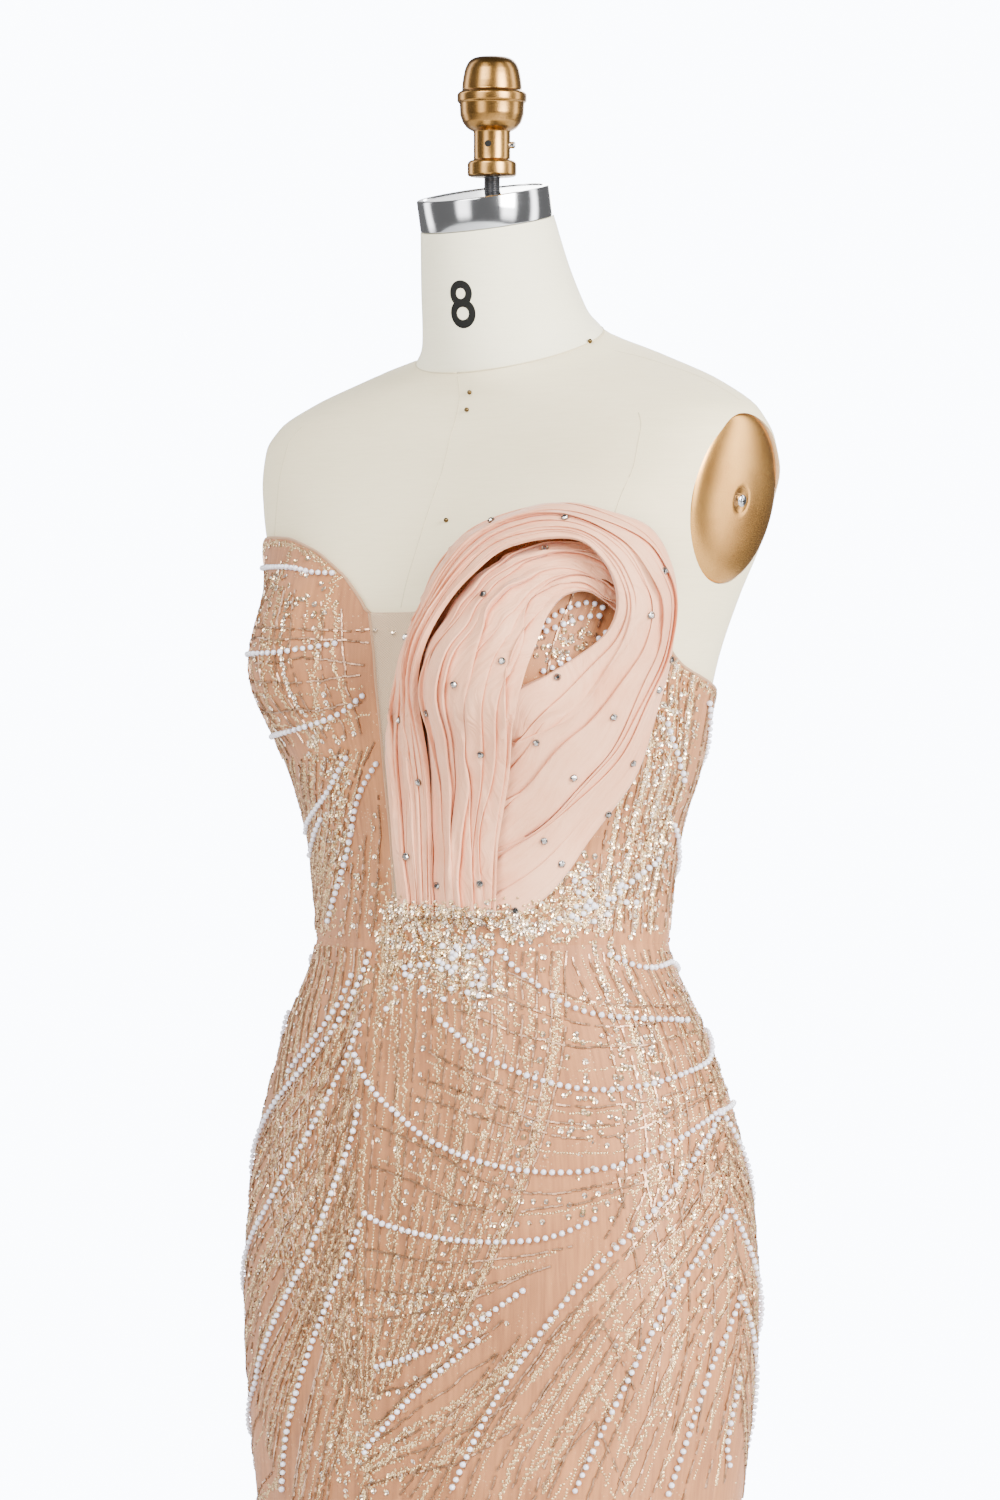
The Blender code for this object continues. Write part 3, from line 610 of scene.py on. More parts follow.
def wall_faces(rows: int, columns: int) -> List[Tuple[int, ...]]:
    """Faces of a closed wall whose inner grid follows its outer grid in the vertex list.

    Args:
        rows: rows of each grid.
        columns: vertices in a row.

    Returns:
        Both faces and the strip round their rim.
    """
    count = rows * columns
    faces = grid_faces(rows, columns)
    faces += [tuple(reversed(face)) for face in grid_faces(rows, columns, count)]
    rim = [j for j in range(columns)] + [i * columns + columns - 1 for i in range(1, rows)]
    rim += [(rows - 1) * columns + j for j in range(columns - 2, -1, -1)]
    rim += [i * columns for i in range(rows - 2, 0, -1)]
    for k in range(len(rim)):
        a, b = rim[k - 1], rim[k]
        faces.append((b, a, a + count, b + count))
    return faces


def add_wall(name: str, outer: Grid, inner: Grid, material: bpy.types.Material,
             pattern: Optional[Grid] = None, sharp: float = 180.0) -> bpy.types.Object:
    """Make a closed wall between two grids of points.

    Args:
        name: the piece's name.
        outer: grid of points of its outer face.
        inner: the same grid on its inner face.
        material: its finish.
        pattern: grid of UVs in metres, for both faces.
        sharp: edges bent by more degrees than this stay crisp.

    Returns:
        The object.
    """
    points = np.concatenate([outer.reshape(-1, 3), inner.reshape(-1, 3)])
    both = None if pattern is None else np.concatenate([pattern, pattern])
    return add_piece(name, points, wall_faces(*outer.shape[:2]), material, both, sharp, True)


def tube(route: Grid, radius: Any, sides: int = 8) -> Tuple[Grid, List[Tuple[int, ...]]]:
    """Points and faces of a round cord along a route, with closed ends.

    Args:
        route: points along it.
        radius: its radius, or one for each point.
        sides: number of sides.

    Returns:
        Points and faces.
    """
    route = np.asarray(route, float)
    along = unit(np.gradient(route, axis=0))
    helper = np.where(np.abs(along[:, 2:3]) > 0.9, np.array([[1.0, 0, 0]]), np.array([[0, 0, 1.0]]))
    side = unit(np.cross(along, helper))
    up = np.cross(side, along)
    turns = np.linspace(0, 2 * math.pi, sides, endpoint=False)
    size = np.broadcast_to(np.asarray(radius, float), (len(route),))[:, None, None]
    ring = side[:, None] * np.cos(turns)[None, :, None] + up[:, None] * np.sin(turns)[None, :, None]
    return (route[:, None] + ring * size).reshape(-1, 3), barrel_faces(len(route), sides)


def turned_piece(name: str, profile: Sequence[Place], base: Matrix, material: bpy.types.Material,
                 facets: int = 72, sharp: float = 40.0, scale: Place = (1.0, 1.0)) -> bpy.types.Object:
    """A turned solid.

    Args:
        name: the piece's name.
        profile: (radius, height) from bottom to top.
        base: its frame, +Z along the axis.
        material: its finish.
        facets: sides.
        sharp: bend above which an edge stays crisp, in degrees.
        scale: widths along the frame's X and Y for an oval.

    Returns:
        The object.
    """
    turns = np.linspace(0, 2 * math.pi, facets, endpoint=False)
    radii, heights = np.array(profile, float).T
    local = np.stack([
        radii[:, None] * scale[0] * np.cos(turns), radii[:, None] * scale[1] * np.sin(turns),
        np.broadcast_to(heights[:, None], (len(radii), facets)), np.ones((len(radii), facets)),
    ], -1).reshape(-1, 4)
    points = (local @ np.array(base).T)[:, :3]
    faces = barrel_faces(len(radii), facets)
    return add_piece(name, points, faces, material, sharp=sharp, turn_out=True)


def rounded(profile: Sequence[Place], radius: float, steps: int = 3) -> List[Place]:
    """A profile with its inner corners rounded.

    Args:
        profile: the corner points.
        radius: how far from a corner the round starts.
        steps: points in each round.

    Returns:
        The finer profile.
    """
    points = [Vector(point) for point in profile]
    out = [tuple(points[0])]
    for before, corner, after in zip(points, points[1:], points[2:]):
        back, on = before - corner, after - corner
        reach = min(radius, back.length * 0.45, on.length * 0.45)
        start, end = corner + back.normalized() * reach, corner + on.normalized() * reach
        for step in range(steps + 1):
            t = step / steps
            out.append(tuple((1 - t) ** 2 * start + 2 * t * (1 - t) * corner + t**2 * end))
    return out + [tuple(points[-1])]


# The figure that carries everything

SECTION_COLUMNS = ("z", "half_width", "front", "back", "centre_y", "squareness", "tilt")
SECTIONS = (
    (0.012, 0.3000, 0.2700, 0.3000, 0.010, 2.00, 0.00),
    (0.200, 0.2150, 0.1900, 0.2050, 0.008, 2.00, 0.00),
    (0.380, 0.1580, 0.1340, 0.1380, 0.004, 2.05, 0.00),
    (0.500, 0.1460, 0.1180, 0.1180, 0.003, 2.12, 0.00),
    (0.600, 0.1550, 0.1160, 0.1170, 0.003, 2.20, 0.00),
    (0.720, 0.1760, 0.1140, 0.1180, 0.003, 2.30, 0.00),
    (0.840, 0.1870, 0.1120, 0.1220, 0.004, 2.36, 0.00),
    (0.900, 0.1845, 0.1100, 0.1180, 0.004, 2.34, 0.00),
    (0.960, 0.1745, 0.1050, 0.1080, 0.004, 2.28, 0.00),
    (1.020, 0.1545, 0.0980, 0.0970, 0.002, 2.18, 0.00),
    (1.080, 0.1270, 0.0920, 0.0890, 0.000, 2.10, 0.00),
    (1.140, 0.1325, 0.0950, 0.0920, 0.001, 2.10, 0.00),
    (1.200, 0.1490, 0.1030, 0.0990, 0.004, 2.15, 0.00),
    (1.260, 0.1590, 0.1070, 0.1050, 0.008, 2.20, 0.00),
    (1.310, 0.1720, 0.1020, 0.1060, 0.014, 2.40, 0.00),
    (1.340, 0.1830, 0.0940, 0.1010, 0.018, 2.70, 0.00),
    (1.370, 0.1915, 0.0830, 0.0900, 0.021, 3.20, 0.00),
    (1.394, 0.1975, 0.0740, 0.0780, 0.024, 3.50, 0.00),
    (1.411, 0.1985, 0.0680, 0.0680, 0.024, 3.40, 0.00),
    (1.428, 0.1925, 0.0620, 0.0600, 0.024, 2.95, 0.05),
    (1.446, 0.1650, 0.0580, 0.0550, 0.024, 2.45, 0.15),
    (1.462, 0.1190, 0.0560, 0.0520, 0.022, 2.15, 0.28),
    (1.476, 0.0690, 0.0550, 0.0520, 0.019, 2.00, 0.36),
    (1.492, 0.0560, 0.0535, 0.0520, 0.013, 2.00, 0.32),
    (1.523, 0.0495, 0.0490, 0.0490, 0.003, 2.00, 0.25),
    (1.557, 0.0445, 0.0445, 0.0445, -0.005, 2.00, 0.21),
)


@dataclass(frozen=True)
class Figure:
    """General figure of superellipse sections with two cups."""

    cup_height: float = 0.036
    cup_x: float = 0.088
    cup_z: float = 1.262
    spread_x: float = 0.056
    spread_up: float = 0.07
    spread_down: float = 0.052

    def point(self, angle: Any, z: Any) -> Grid:
        """Points of the surface.

        Args:
            angle: radians from the front.
            z: section height.

        Returns:
            The points.
        """
        angle, z = np.broadcast_arrays(np.asarray(angle, float), np.asarray(z, float))
        table = np.array(SECTIONS)
        half_width, front, back, centre_y, squareness, tilt = (
            smooth_curve(table[:, 0], table[:, column], z) for column in range(1, len(SECTION_COLUMNS))
        )
        s, c = np.sin(angle), np.cos(angle)
        x = half_width * np.sign(s) * np.abs(s) ** (2 / squareness)
        y = centre_y - np.where(c > 0, front, back) * np.sign(c) * np.abs(c) ** (2 / squareness)
        spread_z = np.where(z > self.cup_z, self.spread_up, self.spread_down)
        cup = np.exp(-((np.abs(x) - self.cup_x) / self.spread_x) ** 2 - ((z - self.cup_z) / spread_z) ** 2)
        cup = cup * smooth_step((c + 0.35) / 0.6)
        y = y - self.cup_height * cup
        x = x + np.sign(x) * 0.3 * self.cup_height * cup * np.clip((np.abs(x) - 0.05) / 0.05, 0, 1)
        return np.stack([x, y, z + tilt * (y - centre_y)], -1)

    def normal(self, angle: Any, z: Any) -> Grid:
        """Outward unit normals."""
        e = 1e-3
        across = self.point(angle + e, z) - self.point(angle - e, z)
        upward = self.point(angle, z + e) - self.point(angle, z - e)
        return unit(np.cross(across, upward))

    def off(self, angle: Any, z: Any, lift: Any) -> Grid:
        """Points that stand a distance off the surface."""
        angle, z = np.asarray(angle, float), np.asarray(z, float)
        return self.point(angle, z) + self.normal(angle, z) * np.asarray(lift, float)[..., None]

    def turn_for(self, length: Any, angle: Any, z: Any) -> Grid:
        """The angle that spans a short length round the figure."""
        e = 1e-3
        run = np.linalg.norm(self.point(angle + e, z) - self.point(angle - e, z), axis=-1) / (2 * e)
        return length / run


# The dress form


@dataclass
class DressForm:
    """Padded linen torso with its neck, numeral, seams and pins."""

    wardrobe: Wardrobe
    figure: Figure = Figure(cup_height=0.0325)
    bare: Figure = Figure(cup_height=0.0)
    bottom_z: float = 0.77
    neck_seam_z: float = 1.476
    neck_top_z: float = 1.557
    columns: int = 128
    seam_radius: float = 0.00045
    numeral_centre: Place = (12.0, 1.5145)
    numeral_stroke: float = 0.0047
    numeral_ink: float = 0.00015
    pin_head: float = 0.0016
    pins: Tuple[Place, ...] = ((3.0, 1.457), (1.0, 1.437), (2.0, 1.357), (6.5, 1.331), (90.0, 1.4765))
    # Visible seams of the cover: each a route of (angle, height)
    seams: Tuple[Tuple[Place, ...], ...] = (
        ((0.0, 1.474), (0.0, 1.42), (0.0, 1.3)),
        ((180.0, 1.474), (180.0, 1.4), (180.0, 1.243)),
        ((42.0, 1.428), (40.0, 1.404), (42.0, 1.37), (46.0, 1.34)),
        ((-42.0, 1.428), (-40.0, 1.404), (-42.0, 1.37), (-46.0, 1.34)),
        ((146.0, 1.428), (150.0, 1.39), (152.0, 1.33), (153.0, 1.24)),
        ((-146.0, 1.428), (-150.0, 1.39), (-152.0, 1.33), (-153.0, 1.24)),
        ((92.0, 1.47), (92.0, 1.452), (92.0, 1.434)),
        ((-92.0, 1.47), (-92.0, 1.452), (-92.0, 1.434)),
    )

    def build(self) -> None:
        """Build every piece of the padded form."""
        self.build_torso()
        self.build_neck()
        self.build_seams()
        self.build_pins()
        self.build_numeral()

    def build_torso(self) -> None:
        """The torso, with a pocket for each arm plate cut as on the solid."""
        shoulder_z = 1.34
        heights = np.concatenate([
            np.linspace(self.bottom_z, shoulder_z, 64)[:-1], np.linspace(shoulder_z, self.neck_seam_z, 40),
        ])
        turns = np.linspace(0, 2 * math.pi, self.columns, endpoint=False)
        points = self.figure.point(turns[None, :], heights[:, None])
        faces = barrel_faces(len(heights), self.columns)
        torso = add_piece("linen_torso", points, faces, self.wardrobe.linen, turn_out=True)
        for side in (1, -1):
            plate = ArmPlate(self.wardrobe, side)
            pocket = plate.pocket()
            modifier = torso.modifiers.new("pocket", "BOOLEAN")
            modifier.operation = "DIFFERENCE"
            modifier.solver = "EXACT"
            modifier.object = pocket
            bpy.context.view_layer.update()
            graph = bpy.context.evaluated_depsgraph_get()
            mesh = bpy.data.meshes.new_from_object(torso.evaluated_get(graph))
            torso.modifiers.clear()
            torso.data = mesh
            bpy.data.objects.remove(pocket)
        torso.data.materials.clear()
        torso.data.materials.append(self.wardrobe.linen)
        torso.data.shade_smooth()
        torso.data.set_sharp_from_angle(angle=math.radians(38.0))
        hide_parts("form_torso")

    def build_neck(self) -> None:
        """The neck block, whose cover is drawn in a little at its foot."""
        heights = np.linspace(self.neck_seam_z, self.neck_top_z, 30)
        turns = np.linspace(0, 2 * math.pi, self.columns, endpoint=False)
        share = (heights - self.neck_seam_z) / (self.neck_top_z - self.neck_seam_z)
        swell = 0.0005 * np.exp(-((share - 0.04) / 0.04) ** 2) - 0.0004 * (share < 0.01)
        shape = (len(heights), self.columns)
        points = self.bare.off(turns[None, :], np.broadcast_to(heights[:, None], shape),
                               np.broadcast_to(swell[:, None], shape))
        neck = add_piece("linen_neck", points, barrel_faces(*shape), self.wardrobe.painted_light_neck_linen,
                         sharp=50.0, turn_out=True)
        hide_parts("form_neck")

    def build_seams(self) -> None:
        """Narrow sewn ridges of the cover and the ring at the neck's foot."""
        tubes = []
        for route in self.seams:
            angle, z = through(route, 40).T
            line = self.figure.off(np.radians(angle), z, np.full(40, -0.0002))
            tubes.append(tube(line, self.seam_radius, 6))
        turns = np.linspace(0, 2 * math.pi, 97)
        line = self.bare.off(turns, np.full(97, self.neck_seam_z + 0.0004), np.full(97, 0.0001))
        tubes.append(tube(line, 0.0005, 6))
        points: List[Grid] = []
        faces: List[Tuple[int, ...]] = []
        for ring, skin in tubes:
            start = sum(map(len, points))
            faces += [tuple(i + start for i in face) for face in skin]
            points.append(ring)
        add_piece("cover_seams", np.concatenate(points), faces, self.wardrobe.welt, turn_out=True)

    def build_pins(self) -> None:
        """Small ball-headed dressmaker's pins pushed into the padding."""
        for number, (angle, z) in enumerate(self.pins):
            spot = np.array([math.radians(angle)]), np.array([z])
            foot = Vector(self.figure.off(*spot, np.array([-0.0006]))[0])
            out = Vector(self.figure.normal(*spot)[0])
            base = Matrix.Translation(foot) @ out.to_track_quat("Z", "Y").to_matrix().to_4x4()
            neck = self.pin_head * 0.3
            profile = [(neck, 0.0), (neck, 0.0008)]
            for step in range(1, 8):
                lift = math.pi * (step / 8 - 0.5)
                profile.append((self.pin_head * math.cos(lift), 0.0018 + self.pin_head * math.sin(lift)))
            turned_piece("pin_%d" % number, profile, base, self.wardrobe.brass, 14)

    def build_numeral(self) -> None:
        """A plain figure 8, two rings of ink printed on the neck."""
        angle, z = self.numeral_centre
        # Height above the centre, half width and half height of each ring, to the middle of its stroke
        for number, (rise, wide, tall) in enumerate(((0.0059, 0.0058, 0.0055), (-0.0056, 0.0068, 0.006))):
            turns = np.linspace(0, 2 * math.pi, 57)
            across = np.linspace(-0.5, 0.5, 4)
            reach = across[:, None] * self.numeral_stroke
            x = (wide + reach) * np.cos(turns)
            heights = z + rise + (tall + reach) * np.sin(turns)
            middle = math.radians(angle)
            spots = middle + self.bare.turn_for(x, np.full(x.shape, middle), heights)
            top = self.bare.off(spots, heights, np.full(x.shape, self.numeral_ink * (1 + 0.4 * number)))
            under = self.bare.off(spots, heights, np.full(x.shape, -0.0002))
            add_wall("numeral_ring_%d" % number, top, under, self.wardrobe.ink, sharp=50.0)


@dataclass
class ArmPlate:
    """Oval gold plate that closes a shoulder end, with its screw."""

    wardrobe: Wardrobe
    side: int
    centre: Tuple[float, float, float] = (0.18, 0.025, 1.371)
    lean: float = math.radians(11.0)
    half_height: float = 0.056
    half_depth: float = 0.0445
    rim: float = 0.0022
    dome: float = 0.0085
    clearance: float = 0.0003
    screw_radius: float = 0.0042

    def base(self) -> Matrix:
        """Frame of the pocket's floor: +Z out of the shoulder, +Y up the plate."""
        x, y, z = self.centre
        out = Vector((self.side * math.cos(self.lean), 0.0, -math.sin(self.lean)))
        up = Vector((self.side * math.sin(self.lean), 0.0, math.cos(self.lean)))
        axes = Matrix((up.cross(out), up, out)).transposed().to_4x4()
        return Matrix.Translation((self.side * x, y, z)) @ axes

    def oval(self, name: str, profile: Sequence[Place], facets: int = 96) -> bpy.types.Object:
        """A solid of oval sections on the plate's frame."""
        return turned_piece(name, profile, self.base(), self.wardrobe.gold, facets, 45.0,
                            (self.half_depth, self.half_height))

    def pocket(self) -> bpy.types.Object:
        """The tool that cuts the plate's pocket."""
        scale = 1 + self.clearance / self.half_depth
        return self.oval("pocket", ((scale, 0.0), (scale, 0.05)))

    def build(self) -> None:
        """Build the plate, its screw and thin black ovals of painted shade for the screw's cross slot."""
        label = "left" if self.side > 0 else "right"
        low = self.clearance
        top = low + self.rim + self.dome
        profile = [(0.985, low), (0.997, low + 0.0003), (1.0, low + 0.0008), (1.0, low + self.rim)]
        for step in range(1, 16):
            lift = step / 16
            profile.append((math.sqrt(1 - lift**2), low + self.rim + self.dome * lift))
        recess = self.screw_radius * 1.55 / self.half_depth
        dip = ((1.5, 0.0), (1.1, 0.0), (1.0, 0.0002), (0.9, 0.0005))
        profile += [(recess * share, top - depth) for share, depth in dip]
        plate = self.oval("gold_plate_" + label, profile)
        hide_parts("arm_plate_" + label)
        head = top - 0.0006
        radius = self.screw_radius
        screw = ((radius, head), (radius, head + 0.0014), (radius * 0.93, head + 0.0019),
                 (radius * 0.7, head + 0.0024), (radius * 0.35, head + 0.0026))
        made = turned_piece("plate_screw_" + label, screw, self.base(), self.wardrobe.steel, 32)
        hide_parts("arm_screw_" + label)
        # Painted shade: two crossed black ovals on the head stand for the cross slot.
        for turn in (0.3, 0.3 + math.pi / 2):
            base = self.base() @ Matrix.Translation((0, 0, head + 0.0024)) @ Matrix.Rotation(turn, 4, "Z")
            slot = turned_piece("slot_%s_%d" % (label, round(turn * 10)),
                                ((0.0021, 0.0), (0.0021, 0.00035), (0.0019, 0.0004)), base,
                                self.wardrobe.ink, 20, 40.0, (1.0, 0.22))
            slot.name = "screw_slot_shade_%s_%s" % (label, "a" if turn < 1 else "b")


@dataclass
class NeckHardware:
    """Steel cap, rod, turned gold finial and its set screw."""

    wardrobe: Wardrobe
    top_centre_y: float = -0.005
    top_z: float = 1.557
    top_tilt: float = 0.21
    cap_radius: float = 0.0445
    cap_height: float = 0.021
    cap_bevel: float = 0.0009
    rod_radius: float = 0.0054
    thread_depth: float = 0.0003
    thread_pitch: float = 0.00125
    finial_bottom: float = 1.589
    stem_radius: float = 0.0123
    screw_z: float = 1.61
    screw_turn: float = math.radians(40.0)
    hole_turn: float = math.radians(-63.0)
    hole_radius: float = 0.0022
    outline: Tuple[Place, ...] = (
        (0.015, 1.589), (0.0164, 1.5898), (0.0164, 1.5978), (0.015, 1.5994), (0.0123, 1.6),
        (0.0123, 1.619), (0.014, 1.6196), (0.0168, 1.6214), (0.0196, 1.625), (0.0213, 1.63),
        (0.0217, 1.6378), (0.0232, 1.6388), (0.0233, 1.6438), (0.022, 1.6452), (0.02, 1.6462),
        (0.02, 1.648), (0.0197, 1.652), (0.019, 1.6565), (0.0181, 1.6605), (0.0168, 1.6638),
        (0.015, 1.6662), (0.0127, 1.6678), (0.01, 1.6686), (0.0035, 1.669),
    )

    def build(self) -> None:
        """Build the cap, rod, finial, the painted shade of the stem's hole, and the screw."""
        tilt = Matrix.Rotation(math.atan(self.top_tilt), 4, "X")
        frame_of_cap = Matrix.Translation((0, self.top_centre_y, self.top_z)) @ tilt
        low, top, edge = 0.0003, 0.0003 + self.cap_height, self.cap_bevel
        radius = self.cap_radius + 0.0002
        profile = [(radius - edge, low), (radius - edge * 0.3, low + edge * 0.3), (radius, low + edge)]
        profile += [(radius, top - edge), (radius - edge * 0.3, top - edge * 0.3), (radius - edge, top)]
        profile += [(radius - 0.0045, top), (radius - 0.0052, top - 0.0007), (0.006, top - 0.0007)]
        cap = turned_piece("steel_cap", profile, frame_of_cap, self.wardrobe.steel, 128, 30.0)
        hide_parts("neck_cap")
        radius, z = self.rod_radius, self.top_z + 0.016
        rod = [(radius, self.top_z + 0.004)]
        while z < self.finial_bottom - 0.0012:
            rod += [(radius, z), (radius - self.thread_depth, z + 0.0005), (radius, z + 0.001)]
            z += self.thread_pitch
        rod.append((radius, self.finial_bottom - 0.0003))
        made = turned_piece("black_rod", rod, Matrix.Identity(4), self.wardrobe.black, 36)
        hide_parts("neck_rod")
        finial = turned_piece("gold_finial", rounded(self.outline, 0.0009), Matrix.Identity(4),
                              self.wardrobe.finial_shade_gold, 72)
        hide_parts("finial")
        self.build_side_details()

    def build_side_details(self) -> None:
        """A black disc of painted shade for the drilled hole in the stem, and the set screw beside it."""
        lie_down = Matrix.Translation((0, 0, self.screw_z)) @ Matrix.Rotation(math.pi / 2, 4, "Y")
        hole_frame = Matrix.Rotation(self.hole_turn, 4, "Z") @ lie_down
        start = self.stem_radius - 0.001
        # Painted shade: a thin black disc on the stem stands for the inside of the drilled hole.
        hole = ((self.hole_radius, start), (self.hole_radius, start + 0.00105))
        turned_piece("stem_hole_shade", hole, hole_frame, self.wardrobe.ink, 28)
        screw_frame = Matrix.Rotation(self.screw_turn, 4, "Z") @ lie_down
        start = self.stem_radius - 0.0004
        screw = rounded(((0.0024, start), (0.0024, start + 0.003), (0.0016, start + 0.0036)), 0.0004)
        made = turned_piece("set_screw", screw, screw_frame, self.wardrobe.steel, 28)
        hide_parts("finial_screw")
        # Painted shade: a black oval on the set screw's head stands for its slot.
        slot_frame = screw_frame @ Matrix.Translation((0, 0, start + 0.0033))
        turned_piece("set_screw_slot_shade", ((0.0014, 0.0), (0.0014, 0.0004)), slot_frame, self.wardrobe.ink,
                     16, 40.0, (1.0, 0.25))


@dataclass
class Stand:
    """Weighted round base and pole."""

    wardrobe: Wardrobe
    pole_radius: float = 0.0125
    base_radius: float = 0.21
    base_edge: float = 0.012
    base_height: float = 0.026
    boss_radius: float = 0.03
    boss_height: float = 0.05
    form_bottom: float = 0.77

    def build(self) -> None:
        """Build the base and the pole with its collar."""
        corners = (
            (self.base_radius - 0.003, 0.0), (self.base_radius, 0.003), (self.base_radius, self.base_edge),
            (self.base_radius - 0.008, self.base_edge + 0.001), (2 * self.boss_radius, self.base_height),
            (self.boss_radius, self.base_height + 0.006), (self.boss_radius, self.boss_height - 0.002),
            (self.boss_radius - 0.004, self.boss_height),
        )
        base = turned_piece("round_base", rounded(corners, 0.004), Matrix.Identity(4), self.wardrobe.black,
                            120)
        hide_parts("stand_base")
        low, top, radius = self.boss_height, self.form_bottom, self.pole_radius
        corners = (
            (radius + 0.006, low), (radius + 0.006, low + 0.01), (radius + 0.001, low + 0.012),
            (radius, low + 0.014), (radius, top - 0.014), (radius + 0.001, top - 0.012),
            (radius + 0.01, top - 0.01), (radius + 0.01, top),
        )
        pole = turned_piece("steel_pole", rounded(corners, 0.0015), Matrix.Identity(4), self.wardrobe.brushed,
                            48)
        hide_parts("stand_pole")


# The gown's cloth


@dataclass(frozen=True)
class Crease:
    """A soft trough or ridge laid between two places on the gown."""

    angle: float
    z: float
    end_angle: float
    end_z: float
    width: float
    depth: float

    def lift(self, angle: Grid, z: Grid) -> Grid:
        """How far the cloth moves out at each place.

        Args:
            angle: radians.
            z: heights.

        Returns:
            The signed distances.
        """
        reach = GownSurface.PATTERN_RADIUS
        start = np.array([math.radians(self.angle) * reach, self.z])
        run = np.array([math.radians(self.end_angle) * reach, self.end_z]) - start
        length = float(np.hypot(*run))
        x, y = angle * reach - start[0], z - start[1]
        along = (x * run[0] + y * run[1]) / length
        aside = (x * run[1] - y * run[0]) / length
        share = np.clip(along / length, 0.0, 1.0)
        past = (along - share * length) / (self.width * 1.5)
        swell = np.sin(math.pi * np.clip(0.12 + 0.76 * share, 0, 1))
        return self.depth * swell * np.exp(-((aside / self.width) ** 2) - past**2)


class GownSurface:
    """Outer surface of the gown's cloth, which the beads are sewn to."""

    PATTERN_RADIUS = 0.16
    CLEARANCE = 0.0012
    CLOTH = 0.0018
    FLUTES = 8
    FLUTE_DEPTH = 0.02
    FLUTE_TOP_Z = 0.56
    HEM_Z = 0.012
    WAIST_Z = 1.08
    SEAMS = (62.0, 93.0, 180.0)
    SEAM_DEPTH = 0.0007
    DEEPEST = 0.0024
    # Start angle and height, end angle and height, width, depth (negative for a trough)
    CREASES = tuple(Crease(*row) for row in (
        (-20.0, 1.076, -11.0, 0.965, 0.0085, -0.0014), (9.0, 1.04, 15.0, 0.9, 0.01, -0.0012),
        (38.0, 1.074, 27.0, 0.98, 0.008, -0.0013), (60.0, 1.078, 92.0, 1.04, 0.007, -0.0014),
        (66.0, 1.062, 112.0, 1.046, 0.006, 0.0009), (-62.0, 1.076, -96.0, 1.036, 0.0075, -0.0013),
        (58.0, 1.098, 100.0, 1.112, 0.0055, -0.0012), (-50.0, 1.096, -92.0, 1.11, 0.006, -0.0012),
        (84.0, 1.15, 122.0, 1.172, 0.008, -0.001), (-84.0, 1.146, -126.0, 1.17, 0.008, -0.001),
        (-8.0, 0.9, -26.0, 0.72, 0.013, -0.0018), (30.0, 0.88, 8.0, 0.7, 0.015, -0.0018),
        (64.0, 0.86, 40.0, 0.69, 0.012, -0.0015), (-48.0, 0.84, -34.0, 0.66, 0.014, -0.0016),
        (150.0, 1.05, 168.0, 0.92, 0.011, -0.0016), (-152.0, 1.046, -166.0, 0.93, 0.01, -0.0014),
        (120.0, 0.8, 162.0, 0.7, 0.016, -0.0018), (-118.0, 0.79, -160.0, 0.705, 0.014, -0.0018),
        (-24.0, 0.64, 24.0, 0.585, 0.015, -0.002), (40.0, 0.65, 82.0, 0.56, 0.013, -0.0017),
        (-44.0, 0.62, -86.0, 0.56, 0.016, -0.0018), (104.0, 0.6, 176.0, 0.54, 0.015, -0.0018),
        (-100.0, 0.61, -172.0, 0.545, 0.013, -0.0017), (12.0, 0.42, 20.0, 0.1, 0.018, -0.003),
        (-34.0, 0.4, -42.0, 0.08, 0.015, -0.0026), (76.0, 0.38, 70.0, 0.12, 0.02, -0.0028),
        (-98.0, 0.41, -92.0, 0.09, 0.017, -0.003), (140.0, 0.4, 148.0, 0.1, 0.018, -0.0028),
        (-150.0, 0.38, -143.0, 0.12, 0.016, -0.0026),
    ))
    # Top edge of the bodice and the plunge's edge
    NECKLINE = (
        (0.0, 1.296), (5.0, 1.296), (8.0, 1.308), (12.0, 1.322), (20.0, 1.339), (32.0, 1.348), (48.0, 1.35),
        (60.0, 1.343), (70.0, 1.316), (82.0, 1.272), (93.0, 1.258), (118.0, 1.247), (150.0, 1.242),
        (180.0, 1.24),
    )
    PLUNGE = ((1.08, 1.0), (1.15, 1.6), (1.22, 2.0), (1.265, 3.0), (1.296, 5.0))
    INSERT_TOP_Z = 1.296

    def __init__(self, figure: Figure) -> None:
        """Keep the figure that the gown is worn on."""
        self.figure = figure

    def flute(self, angle: Grid, z: Grid) -> Grid:
        """How far the skirt's flutes stand out from its plain section."""
        depth = self.FLUTE_DEPTH * smooth_step((self.FLUTE_TOP_Z - z) / (self.FLUTE_TOP_Z - self.HEM_Z))
        return depth * np.cos(self.FLUTES * angle)

    def lift(self, angle: Any, z: Any) -> Grid:
        """Distance of the cloth's outer face from the figure.

        Args:
            angle: radians.
            z: heights.

        Returns:
            The distances, with flutes, creases, seams and waist.
        """
        angle, z = np.asarray(angle, float), np.asarray(z, float)
        folded = sum(crease.lift(angle, z) for crease in self.CREASES)
        turned = np.degrees(np.abs(angle))
        groove = 0.0 * z
        for seam in self.SEAMS:
            aside = np.radians(np.abs(turned - seam)) * self.PATTERN_RADIUS
            on_seam = 1.0 if seam != self.SEAMS[0] else smooth_step((z - self.WAIST_Z) / 0.01)
            groove = groove - self.SEAM_DEPTH * on_seam * np.exp(-((aside / 0.0022) ** 2))
        waist = -self.SEAM_DEPTH * np.exp(-(((z - self.WAIST_Z) / 0.003) ** 2))
        plain = self.CLEARANCE + self.CLOTH + self.flute(angle, z)
        return plain + np.maximum(folded, -self.DEEPEST) + groove + waist

    def at(self, angle: Any, z: Any, above: Any = 0.0) -> Grid:
        """Points on the cloth or a distance above it."""
        return self.figure.off(angle, z, self.lift(angle, z) + above)

    def neckline(self, angle: Any) -> Grid:
        """Height of the top edge."""
        table = np.array(self.NECKLINE)
        return smooth_curve(table[:, 0], table[:, 1], np.degrees(np.abs(angle)))

    def plunge(self, z: Any) -> Grid:
        """Angle of the insert's edge."""
        table = np.array(self.PLUNGE)
        return np.radians(smooth_curve(table[:, 0], table[:, 1], z))


